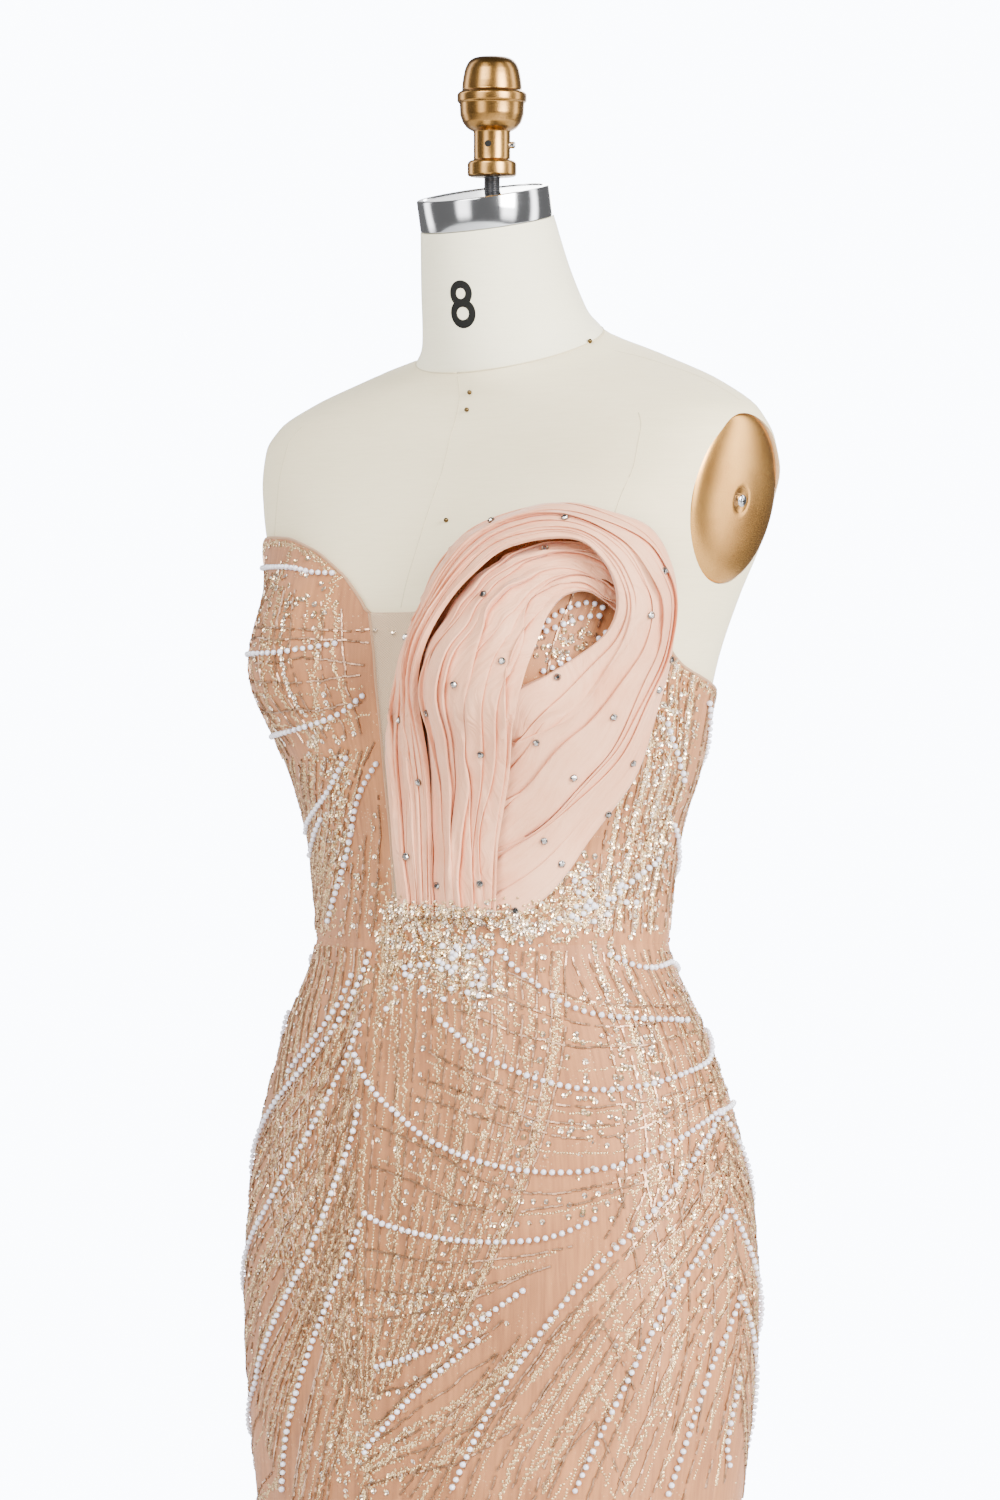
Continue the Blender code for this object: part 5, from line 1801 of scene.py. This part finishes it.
# Beads in turn, first route, last route, number of rows and, where it isn't the usual, their jitter
FAMILIES = tuple(Family(*row) for row in (
    # Bodice front: upright rows that bend with the cup, then rows that sweep down to the side
    (CUP_BEADS, ((-10, 1.3), (-8, 1.25), (-6, 1.22)), ((-62, 1.34), (-65, 1.27), (-58, 1.2)), 24, 0.0016),
    (FINE, ((-6, 1.262), (-25, 1.258), (-45, 1.262)), ((-5, 1.226), (-14, 1.222), (-40, 1.218)), 4, 0.0016),
    ((Bead.BRONZE,), ((-5, 1.297), (-25, 1.298), (-45, 1.302)), ((-4, 1.25), (-14, 1.254), (-30, 1.25)), 3),
    (LINES, ((-3, 1.21), (-12, 1.172), (-22, 1.13), (-34, 1.085)), ((-44, 1.2), (-58, 1.16), (-72, 1.12),
     (-84, 1.09)), 22, 0.0018),
    (GLITTER, ((-3, 1.18), (-5, 1.13), (-8, 1.086)), ((-20, 1.12), (-24, 1.1), (-28, 1.084)), 8, 0.0015),
    (GLITTER, ((8, 1.315), (6, 1.22), (8, 1.09)), ((60, 1.335), (64, 1.22), (62, 1.09)), 14),
    ((Bead.BRONZE, Bead.SEQUIN, Bead.ROPE, Bead.BRONZE, Bead.SPARSE), ((66, 1.325), (68, 1.2),
     (66, 1.088)), ((98, 1.255), (100, 1.17), (98, 1.088)), 20, 0.0016),
    (LINES, ((104, 1.25), (106, 1.17), (104, 1.088)), ((176, 1.238), (176, 1.16), (176, 1.088)), 22, 0.0016),
    (GLITTER, ((-64, 1.335), (-70, 1.21), (-84, 1.11)), ((-104, 1.25), (-106, 1.17), (-104, 1.088)),
     14, 0.0016),
    (LINES, ((-108, 1.248), (-108, 1.17), (-108, 1.088)), ((-176, 1.238), (-176, 1.16), (-176, 1.088)),
     21, 0.0016),
    # Hip: double festoon rows between the pearl festoons
    (FINE, ((36, 1.072), (60, 1.052), (98, 1.046)), ((13, 1.022), (48, 0.998), (100, 1.008)), 6),
    (FINE, ((10, 1.012), (48, 0.978), (100, 0.99)), ((4, 0.966), (48, 0.946), (96, 0.974)), 6),
    (GLITTER, ((-3, 0.966), (29, 0.926), (51, 0.926), (90, 0.95)), ((-3, 0.914), (16, 0.899), (36, 0.902),
     (56, 0.915)), 5),
    (FINE, ((-4, 0.886), (16, 0.88), (44, 0.892)), ((-1, 0.815), (13, 0.833), (30, 0.862)), 6),
    (GLITTER, ((-1, 0.796), (13, 0.815), (28, 0.846)), ((-3, 0.755), (3, 0.785), (20, 0.832)), 3),
    # Left hip: rows that fall from the waist across the festoons
    (FAN_BEADS, ((57, 1.076), (61, 1.01), (59, 0.93), (52, 0.892)), ((106, 1.076), (108, 1.01),
     (106, 0.96), (102, 0.925)), 17, 0.002),
    (FAN_BEADS, ((54, 0.93), (60, 0.85), (56, 0.78)), ((104, 0.96), (108, 0.86), (104, 0.76)), 11, 0.002),
    # Front right: rows between the pearl diagonals
    (LINES, ((-12, 1.074), (-18, 1.038), (-28, 1.001), (-56, 0.94)), ((-11, 1.028), (-15, 0.998),
     (-22, 0.956), (-52, 0.868)), 10),
    (LINES, ((-10, 1.01), (-14, 0.975), (-24, 0.926), (-51, 0.864)), ((-8, 0.975), (-10, 0.941),
     (-18, 0.879), (-46, 0.776)), 12),
    (LINES, ((-7, 0.96), (-10, 0.915), (-20, 0.85), (-46, 0.768)), ((-5, 0.898), (-9, 0.867),
     (-20, 0.801), (-32, 0.713)), 13),
    # Left side: diagonals that run down to the front
    (LINES, ((100, 0.964), (78, 0.92), (50, 0.866), (26, 0.776), (18, 0.72)), ((96, 0.914), (74, 0.852),
     (58, 0.788), (49, 0.73)), 11),
    (LINES, ((95, 0.902), (72, 0.84), (58, 0.776), (50, 0.724)), ((98, 0.858), (88, 0.808), (77, 0.728)), 9),
    (LINES, ((98, 0.846), (88, 0.796), (78, 0.722)), ((99, 0.806), (97, 0.762), (99, 0.735)), 5),
    (LINES, ((45, 0.85), (32, 0.806), (22, 0.76), (13, 0.705)), ((24, 0.812), (13, 0.768), (4, 0.722)), 7),
    (LINES, ((-5, 0.885), (-10, 0.845), (-19, 0.785), (-28, 0.708)), ((-4, 0.805), (-6, 0.775),
     (-9, 0.74), (-13, 0.7)), 11),
    (LINES, ((-4, 0.755), (4, 0.79), (14, 0.82), (22, 0.838)), ((-3, 0.722), (6, 0.732), (18, 0.742),
     (32, 0.768)), 9),
    ((Bead.SEQUIN,), ((64, 1.085), (63, 1.05), (61, 0.995)), ((82, 1.08), (82, 1.04), (80, 1.01)), 3, 0.001),
    (GLITTER, ((73, 0.94), (66, 0.9), (58, 0.88)), ((99, 0.966), (88, 0.945), (76, 0.932)), 7),
    # Right side
    (LINES, ((-62, 1.076), (-84, 1.066), (-104, 1.068)), ((-60, 1.028), (-82, 0.99), (-104, 0.985)), 6),
    (LINES, ((-58, 1.016), (-80, 0.98), (-100, 0.972)), ((-56, 0.95), (-76, 0.908), (-98, 0.896)), 7),
    (LINES, ((-54, 0.93), (-76, 0.896), (-98, 0.884)), ((-51, 0.874), (-70, 0.84), (-96, 0.83)), 5),
    (LINES, ((-50, 0.862), (-70, 0.826), (-96, 0.816)), ((-45, 0.784), (-64, 0.75), (-86, 0.738)), 7),
    (LINES, ((-44, 0.772), (-62, 0.738), (-86, 0.722)), ((-32, 0.712), (-54, 0.69), (-84, 0.67)), 4),
    # Back, left of the zip and right of it
    (LINES, ((106, 1.074), (134, 1.068), (174, 1.078)), ((102, 1.008), (128, 1.024), (174, 0.98)), 7),
    (LINES, ((101, 0.996), (126, 1.01), (174, 0.965)), ((98, 0.976), (124, 0.976), (174, 0.9)), 5),
    (LINES, ((99, 0.962), (122, 0.95), (174, 0.88)), ((96, 0.916), (118, 0.85), (174, 0.724)), 14),
    (LINES, ((97, 0.89), (116, 0.82), (172, 0.706)), ((98, 0.79), (112, 0.735), (130, 0.69)), 9),
    (LINES, ((-106, 1.07), (-134, 1.064), (-174, 1.076)), ((-104, 0.992), (-128, 1.008), (-174, 0.972)), 7),
    (LINES, ((-102, 0.978), (-126, 0.992), (-174, 0.956)), ((-98, 0.9), (-122, 0.932), (-174, 0.888)), 7),
    (LINES, ((-98, 0.886), (-122, 0.918), (-174, 0.872)), ((-96, 0.832), (-120, 0.866), (-174, 0.804)), 5),
    (LINES, ((-96, 0.818), (-118, 0.848), (-174, 0.788)), ((-86, 0.738), (-112, 0.77), (-174, 0.714)), 7),
    # Below the photographed part: rows that fall to the knee and open over the flare
    (FINE, ((-176, 0.69), (-170, 0.56), (-176, 0.47)), ((176, 0.69), (170, 0.56), (176, 0.47)), 32, 0.003),
    (LINES, ((-178, 0.43), (-170, 0.26), (-177, 0.06)), ((178, 0.43), (170, 0.26), (177, 0.06)), 26, 0.003),
))


@dataclass(frozen=True)
class Cluster:
    """A scattered drift of loose sequins, pearls or seeds."""

    bead: Bead
    angle: float
    z: float
    spread_angle: float
    spread_z: float
    count: int


# Bead, angle and height of the middle, spread of both, number of beads
CLUSTERS = tuple(Cluster(*row) for row in (
    (Bead.SEQUIN, 14, 1.078, 14, 0.024, 380), (Bead.PEARL, 14, 1.066, 13, 0.024, 34),
    (Bead.ROPE, 16, 1.066, 12, 0.024, 240), (Bead.ROPE, -3, 1.07, 4, 0.045, 420),
    (Bead.SEQUIN, 7, 1.102, 9, 0.005, 120), (Bead.SEQUIN, 24, 1.099, 10, 0.006, 120),
    (Bead.ROPE, 16, 1.1, 16, 0.006, 260), (Bead.SEQUIN, 35, 1.096, 4, 0.008, 60),
    (Bead.SEQUIN, -2, 1.082, 5, 0.034, 110), (Bead.SEQUIN, 25, 1.05, 9, 0.014, 90),
    (Bead.SEQUIN, 42, 1.092, 10, 0.011, 120), (Bead.SEQUIN, 64, 1.11, 15, 0.02, 260),
    (Bead.PEARL, 66, 1.108, 15, 0.016, 24), (Bead.ROPE, 60, 1.104, 20, 0.02, 420),
    (Bead.SEQUIN, 90, 1.15, 12, 0.045, 230), (Bead.ROPE, 88, 1.17, 13, 0.06, 500),
    (Bead.SEQUIN, 84, 1.225, 12, 0.03, 150), (Bead.SEQUIN, -18, 1.2, 7, 0.03, 70),
    (Bead.SEQUIN, -22, 1.15, 9, 0.03, 70), (Bead.ROPE, -38, 1.13, 12, 0.05, 420),
    (Bead.SEQUIN, -30, 1.3, 22, 0.04, 90), (Bead.SEQUIN, 49, 1.275, 5, 0.012, 40),
    (Bead.SEQUIN, -92, 1.15, 14, 0.045, 120), (Bead.SEQUIN, 140, 1.11, 26, 0.022, 180),
    (Bead.SEQUIN, -140, 1.11, 26, 0.022, 180), (Bead.ROPE, -5, 0.752, 8, 0.02, 300),
    (Bead.SEQUIN, -5, 0.745, 12, 0.03, 70), (Bead.SEQUIN, 8, 0.845, 12, 0.012, 60),
    (Bead.SEQUIN, 60, 0.985, 26, 0.05, 120), (Bead.SEQUIN, 75, 0.87, 20, 0.06, 60),
    (Bead.SEQUIN, -40, 0.9, 24, 0.09, 130), (Bead.SEQUIN, 140, 0.9, 30, 0.1, 140),
    (Bead.SEQUIN, -140, 0.9, 30, 0.1, 140), (Bead.SEQUIN, 0, 0.62, 60, 0.05, 120),
    (Bead.ROPE, 104, 1.0, 9, 0.08, 400), (Bead.ROPE, 108, 0.88, 9, 0.08, 400),
))


@dataclass
class Beading:
    """All that is sewn to the net: pearls, ropes, tubes and sequins."""

    wardrobe: Wardrobe
    surface: GownSurface
    rosette: BVHTree
    seed: int = 40
    fan_point: Place = (-3.0, 0.744)
    fan_share: Tuple[Place, ...] = (
        (0.744, 0.03), (0.8, 0.21), (0.88, 0.46), (0.94, 0.63), (1.0, 0.79), (1.04, 0.9), (1.08, 1.0),
    )
    fall_share: Tuple[Place, ...] = ((0.46, 0.85), (0.52, 0.7), (0.65, 0.35), (0.744, 0.03))
    chevron_angle: float = 51.0
    knee_rows_z: float = 0.7
    chevrons: Tuple[float, ...] = (0.885, 0.862, 0.841, 0.82, 0.798, 0.776, 0.757)
    styles = {
        Bead.PEARL: BeadStyle(0.002, 0.0056, 0.0, 0.0, 0.0),
        Bead.ROPE: BeadStyle(0.0011, 0.00095, 0.0017, 0.3, 0.05),
        Bead.THREAD: BeadStyle(0.00095, 0.002, 0.0004, 0.3, 0.1),
        Bead.BRONZE: BeadStyle(0.0015, 0.0032, 0.0003, 0.2, 0.1),
        Bead.SEQUIN: BeadStyle(0.0019, 0.0034, 0.0008, 0.3, 0.06),
        Bead.SPARSE: BeadStyle(0.0019, 0.0085, 0.0006, 0.35, 0.15),
    }

    def __post_init__(self) -> None:
        """Start the fields."""
        self.draw = np.random.default_rng(self.seed)
        self.fields: Dict[Bead, List[BeadField]] = {bead: [] for bead in Bead}

    def hidden(self, feet: Grid, out: Grid) -> Grid:
        """Which beads the rosette presses on and hides."""
        near = 0.014
        hits = (self.rosette.ray_cast(Vector(foot), Vector(way), near) for foot, way in zip(feet, out))
        return np.array([hit[0] is not None for hit in hits], bool)

    def ways_out(self, angle: Grid, z: Grid) -> Grid:
        """Outward normals of the cloth with its flutes and creases."""
        e = 1.5e-3
        across = self.surface.at(angle + e, z) - self.surface.at(angle - e, z)
        upward = self.surface.at(angle, z + e) - self.surface.at(angle, z - e)
        return unit(np.cross(across, upward))

    def put(self, bead: Bead, angle: Grid, z: Grid, along: Grid) -> None:
        """Sew beads at places on the gown.

        Args:
            bead: their kind.
            angle: radians.
            z: heights.
            along: their ways along the strand.
        """
        style = self.styles[bead]
        feet, out = self.surface.at(angle, z), self.ways_out(angle, z)
        leaning = unit(out + self.draw.normal(size=out.shape) * style.tilt * 0.5)
        size = style.size * self.draw.uniform(0.92, 1.08, len(feet))
        inside = (z < 1.082) | (z < self.surface.neckline(angle) - 0.002)
        keep = inside & (z > GownSurface.HEM_Z + 0.006) & ~self.hidden(feet, out)
        self.fields[bead].append(BeadField(feet, leaning, along, size).chosen(keep))

    def string(self, strand: Strand) -> None:
        """Sew one strand.

        Args:
            strand: its kind and route.
        """
        style = self.styles[strand.bead]
        fine = through(strand.route, 24 * len(strand.route))
        angle, z = np.radians(fine[:, 0]), fine[:, 1]
        line = self.surface.at(angle, z)
        run = run_along(line)
        count = int(run[-1] / style.pitch)
        if count < 2:
            return
        spots = (np.arange(count) + 0.5) * run[-1] / count
        spots = spots[self.draw.random(count) >= style.gap_share]
        place = [np.interp(spots, run, values) for values in (angle, z)]
        ahead = [np.interp(spots + 0.0005, run, values) for values in (angle, z)]
        along = self.surface.at(*ahead) - self.surface.at(*place)
        side = unit(np.cross(self.surface.figure.normal(*place), along + 1e-9))
        shift = self.draw.normal(size=len(spots)) * style.width
        aside = shift * side[:, 0] / (np.abs(np.cos(place[0])) + 0.3)
        place[0] = place[0] + self.surface.figure.turn_for(aside, *place)
        place[1] = place[1] + shift * side[:, 2]
        self.put(strand.bead, *place, along)

    def drift(self, cluster: Cluster) -> None:
        """Scatter a cluster, over the chiffon too where it overlaps.

        Args:
            cluster: its kind, place, spread and number.
        """
        angle = np.radians(cluster.angle + self.draw.normal(size=cluster.count) * cluster.spread_angle * 0.55)
        z = cluster.z + self.draw.normal(size=cluster.count) * cluster.spread_z * 0.55
        feet, out = self.surface.at(angle, z), self.ways_out(angle, z)
        size = self.styles[cluster.bead].size * self.draw.uniform(0.9, 1.1, cluster.count)
        keep = (z < self.surface.neckline(angle) - 0.003) | (z < 1.08)
        for i in np.flatnonzero(keep):
            start = Vector(feet[i] + out[i] * 0.05)
            hit = self.rosette.ray_cast(start, Vector(-out[i]), 0.05)
            if hit[0] is not None and z[i] < 1.112:
                feet[i] = np.array(hit[0]) + out[i] * 0.0002
            elif hit[0] is not None and (hit[0] - Vector(feet[i])).length < 0.014:
                keep[i] = False
        lean = unit(out + self.draw.normal(size=out.shape) * 0.22)
        field = BeadField(feet, lean, self.draw.normal(size=out.shape), size)
        self.fields[cluster.bead].append(field.chosen(keep))

    def fan(self) -> List[Strand]:
        """Rows that run from the waist to the fan point, and on from it down to the knee."""
        upper, lower = np.array(self.fan_share), np.array(self.fall_share)
        rows = []
        for number, start in enumerate(np.arange(-60.0, 61.0, 2.5)):
            bead = FAN_BEADS[number % len(FAN_BEADS)]
            heights = np.linspace(1.076, 0.765 + 0.0012 * abs(start), 9)
            angles = self.fan_point[0] + start * smooth_curve(upper[:, 0], upper[:, 1], heights)
            rows.append(Strand(bead, tuple(zip(angles, heights))))
        for number, end in enumerate(np.arange(-64.0, 65.0, 6.4)):
            bead = LINES[(number + 1) % len(LINES)]
            heights = np.linspace(0.73 - 0.0009 * abs(end), 0.47, 8)
            angles = self.fan_point[0] + end * smooth_curve(lower[:, 0], lower[:, 1], heights)
            rows.append(Strand(bead, tuple(zip(angles, heights))))
        return rows

    def nested_chevrons(self) -> List[Strand]:
        """Pointed rows inside each other on the left hip."""
        rows = []
        middle = self.chevron_angle
        for number, peak in enumerate(self.chevrons):
            bead = (Bead.THREAD, Bead.ROPE, Bead.BRONZE)[number % 3]
            for arm in (((5, 0.02), (11, 0.045)), ((-8, 0.026), (-17, 0.062))):
                foot = tuple((middle + aside, peak - fall) for aside, fall in arm)
                rows.append(Strand(bead, ((middle, peak),) + foot))
        return rows

    def edge_rows(self) -> List[Strand]:
        """Ropes that follow the bound top edge on both sides."""
        angles = np.linspace(12.0, 178.0, 40)
        heights = self.surface.neckline(np.radians(angles)) - 0.0042
        return [Strand(Bead.ROPE, tuple(zip(sign * angles, heights))) for sign in (1, -1)]

    def build(self) -> None:
        """String everything and join it into one mesh for each kind and half of the gown."""
        for route in PEARL_ROWS_BODICE + PEARL_ROWS_SKIRT:
            self.string(Strand(Bead.PEARL, route))
        for route in ROPE_ROWS:
            self.string(Strand(Bead.ROPE, route))
        rows = self.fan() + self.nested_chevrons() + self.edge_rows()
        for family in FAMILIES:
            rows += family.strands(self.draw)
        for strand in rows:
            self.string(strand)
        for cluster in CLUSTERS:
            self.drift(cluster)
        ball = lathe_template(((0.6, 0.05), (1.0, 0.8), (0.76, 1.54), (0.0, 1.9)), 8, cap_ends=False)
        seed = lathe_template(((1.0, 0.12), (0.0, 1.15)), 5, cap_ends=False)
        ring = lathe_template(((1.0, 0.42), (0.28, 0.12)), 8, cap_ends=False)
        pipe = half_tube_template(0.6, 2.1)
        looks = {
            Bead.PEARL: (ball, self.wardrobe.pearl), Bead.ROPE: (seed, self.wardrobe.seed),
            Bead.THREAD: (seed, self.wardrobe.seed), Bead.BRONZE: (pipe, self.wardrobe.bronze),
            Bead.SEQUIN: (ring, self.wardrobe.sequin), Bead.SPARSE: (ring, self.wardrobe.sequin),
        }
        for bead, fields in self.fields.items():
            whole = fields[0]
            for field in fields[1:]:
                whole = whole.joined(field)
            template, material = looks[bead]
            height, behind = whole.feet[:, 2], whole.feet[:, 1] > 0.0
            hip = (height < GownSurface.WAIST_Z) & (height >= self.knee_rows_z)
            for label, keep in (("bodice", height >= GownSurface.WAIST_Z), ("hip_front", hip & ~behind),
                                ("hip_back", hip & behind), ("lower_skirt", height < self.knee_rows_z)):
                sharp = 30.0 if bead is Bead.BRONZE else 180.0
                add_beads("%s_%s" % (bead.value, label), whole.chosen(keep), template, material,
                          sharp)


# The zip


@dataclass
class Zip:
    """Tapes and teeth of the centre back zip; its slider and pull are the frame's own."""

    wardrobe: Wardrobe
    surface: GownSurface
    top_z: float = 1.234
    bottom_z: float = 0.9
    tape_width: float = 0.011
    tooth_pitch: float = 0.0025

    def build(self) -> None:
        """Build the tapes and teeth."""
        z = np.linspace(self.bottom_z, self.top_z, 80)
        for sign, label in ((1, "left"), (-1, "right")):
            across = np.linspace(0.0006, self.tape_width, 6)
            heights = np.repeat(z[:, None], 6, 1)
            back = np.full(heights.shape, math.pi)
            turn = back - self.surface.figure.turn_for(np.broadcast_to(across, heights.shape), back, heights)
            lift = 0.0003 + 0.0006 * np.exp(-((across[None, :] - 0.0006) / 0.002) ** 2)
            top = self.surface.at(sign * turn, heights, lift + 0.0007)
            under = self.surface.at(sign * turn, heights, lift)
            add_wall("zip_tape_" + label, top, under, self.wardrobe.binding)
        count = int((self.top_z - self.bottom_z) / self.tooth_pitch)
        heights = self.bottom_z + (np.arange(count) + 0.5) * self.tooth_pitch
        shift = np.where(np.arange(count) % 2, 0.0007, -0.0007)
        turn = math.pi - self.surface.figure.turn_for(shift, np.full(count, math.pi), heights)
        feet = self.surface.at(turn, heights, 0.0012)
        out = self.surface.figure.normal(turn, heights)
        field = BeadField(feet, out, np.tile([1.0, 0.0, 0.0], (count, 1)), np.full(count, 0.001))
        tooth = Template(np.array([
            (-1.6, -0.62, 0), (1.6, -0.62, 0), (1.6, 0.62, 0), (-1.6, 0.62, 0),
            (-1.3, -0.42, 0.8), (1.3, -0.42, 0.8), (1.3, 0.42, 0.8), (-1.3, 0.42, 0.8),
        ]), [(3, 2, 1, 0), (4, 5, 6, 7), (0, 1, 5, 4), (1, 2, 6, 5), (2, 3, 7, 6), (3, 0, 4, 7)])
        add_beads("zip_teeth", field, tooth, self.wardrobe.zip_metal, sharp=30.0)
        for node in ("zip_slider", "zip_pull"):
            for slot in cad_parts[node].material_slots:
                slot.material = self.wardrobe.zip_metal


# The studio


@dataclass
class Studio:
    """Pale floor, soft lights and the camera."""

    distance: float = 4.2
    yaw: float = math.radians(40.0)
    eye_z: float = 1.2067
    aside: float = 0.0053
    lens: float = 151.2
    sensor: float = 36.0
    floor_radius: float = 3.0
    backdrop: Colour = (0.8, 0.85, 1.0)
    backdrop_strength: float = 14.0
    room: Colour = (0.985, 0.985, 1.0)
    room_strength: float = 0.24
    box_strength: float = 8.0
    # Soft boxes seen from the figure: middle and half width in degrees from +X, and brightness
    boxes: Tuple[Tuple[float, float, float], ...] = (
        (-166.0, 3.0, 0.8), (-88.0, 6.0, 0.85), (-8.0, 7.0, 1.0), (45.0, 2.0, 1.0), (120.0, 6.0, 0.7),
    )
    box_edge: float = 10.0
    # The boxes' lower and upper ends, as the height of a unit direction
    box_foot: Place = (-0.45, -0.2)
    box_head: Place = (0.62, 0.85)

    def build(self) -> None:
        """Build the studio."""
        self.build_floor()
        self.build_world()
        self.build_lights()
        self.build_camera()

    def build_floor(self) -> None:
        """A round pale floor."""
        mesh = bpy.data.meshes.new("studio_floor")
        turns = np.linspace(0, 2 * math.pi, 96, endpoint=False)
        points = [(self.floor_radius * math.cos(t), self.floor_radius * math.sin(t), 0.0) for t in turns]
        mesh.from_pydata(points, [], [tuple(range(96))])
        paint = Paint("pale_floor")
        grain = paint.noise(paint.place(), 6.0, 3.0)
        colour = paint.mix(grain, (0.84, 0.85, 0.86), (0.8, 0.81, 0.82))
        mesh.materials.append(paint.finish(Base_Color=colour, Roughness=0.7))
        floor = bpy.data.objects.new("studio_floor", mesh)
        bpy.context.scene.collection.objects.link(floor)

    def build_world(self) -> None:
        """A white backdrop for the camera, and a dim room with tall soft boxes for the light."""
        world = bpy.data.worlds.new("studio")
        world.use_nodes = True
        graph = Graph(world.node_tree)
        way = graph.place("Generated")
        turn = graph.signal("ShaderNodeTexGradient", {"gradient_type": "RADIAL"}, {0: way}, "Fac")
        ramp = graph.node("ShaderNodeValToRGB", None, {0: turn})
        ramp.color_ramp.interpolation = "EASE"
        stops = [(0.0, 0.0), (1.0, 0.0)]
        for middle, half, bright in self.boxes:
            outside = half + self.box_edge
            for aside, value in ((-outside, 0.0), (-half, bright), (half, bright), (outside, 0.0)):
                stops.append(((middle + aside) / 360 + 0.5, value))
        stops.sort()
        while len(ramp.color_ramp.elements) < len(stops):
            ramp.color_ramp.elements.new(0.5)
        for element, (position, value) in zip(ramp.color_ramp.elements, stops):
            element.position, element.color = position, (value, value, value, 1.0)
        height = graph.axis(way, "Z")
        tall = Signal(graph, ramp.outputs["Color"]) * height.rise(*self.box_foot)
        tall = tall * (1 - height.rise(*self.box_head))
        strength = tall * self.box_strength + self.room_strength
        light = {"Color": self.room, "Strength": strength}
        background, last = world.node_tree.nodes["Background"], world.node_tree.nodes["World Output"]
        graph.feed(background.inputs["Color"], self.backdrop)
        graph.feed(background.inputs["Strength"], self.backdrop_strength)
        camera_ray = graph.signal("ShaderNodeLightPath", output="Is Camera Ray")
        lighting = graph.signal("ShaderNodeBackground", None, light)
        views = {0: camera_ray, 1: lighting, 2: Signal(graph, background.outputs[0])}
        graph.feed(last.inputs["Surface"], graph.signal("ShaderNodeMixShader", None, views))
        bpy.context.scene.world = world

    def build_lights(self) -> None:
        """Large soft key and a rim light."""
        # Name, place, target height, power, width, height
        lamps = (
            ("key", (4.15, -0.8, 2.5), 1.15, 450.0, 2.0, 2.4),
            ("rim", (-1.6, 3.0, 2.4), 1.2, 110.0, 1.6, 2.0),
            ("fill", (0.6, -3.2, 3.4), 1.2, 120.0, 2.0, 1.4),
        )
        for name, place, height, power, width, tall in lamps:
            light = bpy.data.lights.new(name, "AREA")
            light.shape = "RECTANGLE"
            light.size, light.size_y, light.energy = width, tall, power
            thing = bpy.data.objects.new(name, light)
            thing.location = place
            way = Vector((0.0, 0.0, height)) - Vector(place)
            thing.rotation_euler = way.to_track_quat("-Z", "Y").to_euler()
            bpy.context.scene.collection.objects.link(thing)

    def build_camera(self) -> None:
        """The photographed view, from the gown's left front."""
        data = bpy.data.cameras.new("camera")
        data.lens, data.sensor_width = self.lens, self.sensor
        data.sensor_fit = "AUTO"
        data.clip_start, data.clip_end = 0.1, 60.0
        camera = bpy.data.objects.new("camera", data)
        right = Vector((math.cos(self.yaw), math.sin(self.yaw), 0.0))
        back = Vector((math.sin(self.yaw), -math.cos(self.yaw), 0.0))
        camera.location = back * self.distance + right * self.aside + Vector((0, 0, self.eye_z))
        camera.rotation_euler = (math.pi / 2, 0, self.yaw)
        bpy.context.scene.collection.objects.link(camera)
        bpy.context.scene.camera = camera


def main() -> None:
    """Build every sub-assembly in order."""
    logging.basicConfig(level=logging.INFO, format="%(name)s: %(message)s")
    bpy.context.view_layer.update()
    wardrobe = Wardrobe()
    figure = Figure()
    surface = GownSurface(figure)
    DressForm(wardrobe).build()
    NeckHardware(wardrobe).build()
    for side in (1, -1):
        ArmPlate(wardrobe, side).build()
    Stand(wardrobe).build()
    Gown(wardrobe, surface).build()
    rosette = Rosette(wardrobe, figure).build()
    Beading(wardrobe, surface, rosette).build()
    Zip(wardrobe, surface).build()
    Studio().build()
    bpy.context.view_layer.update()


if __name__ == "__main__":
    main()
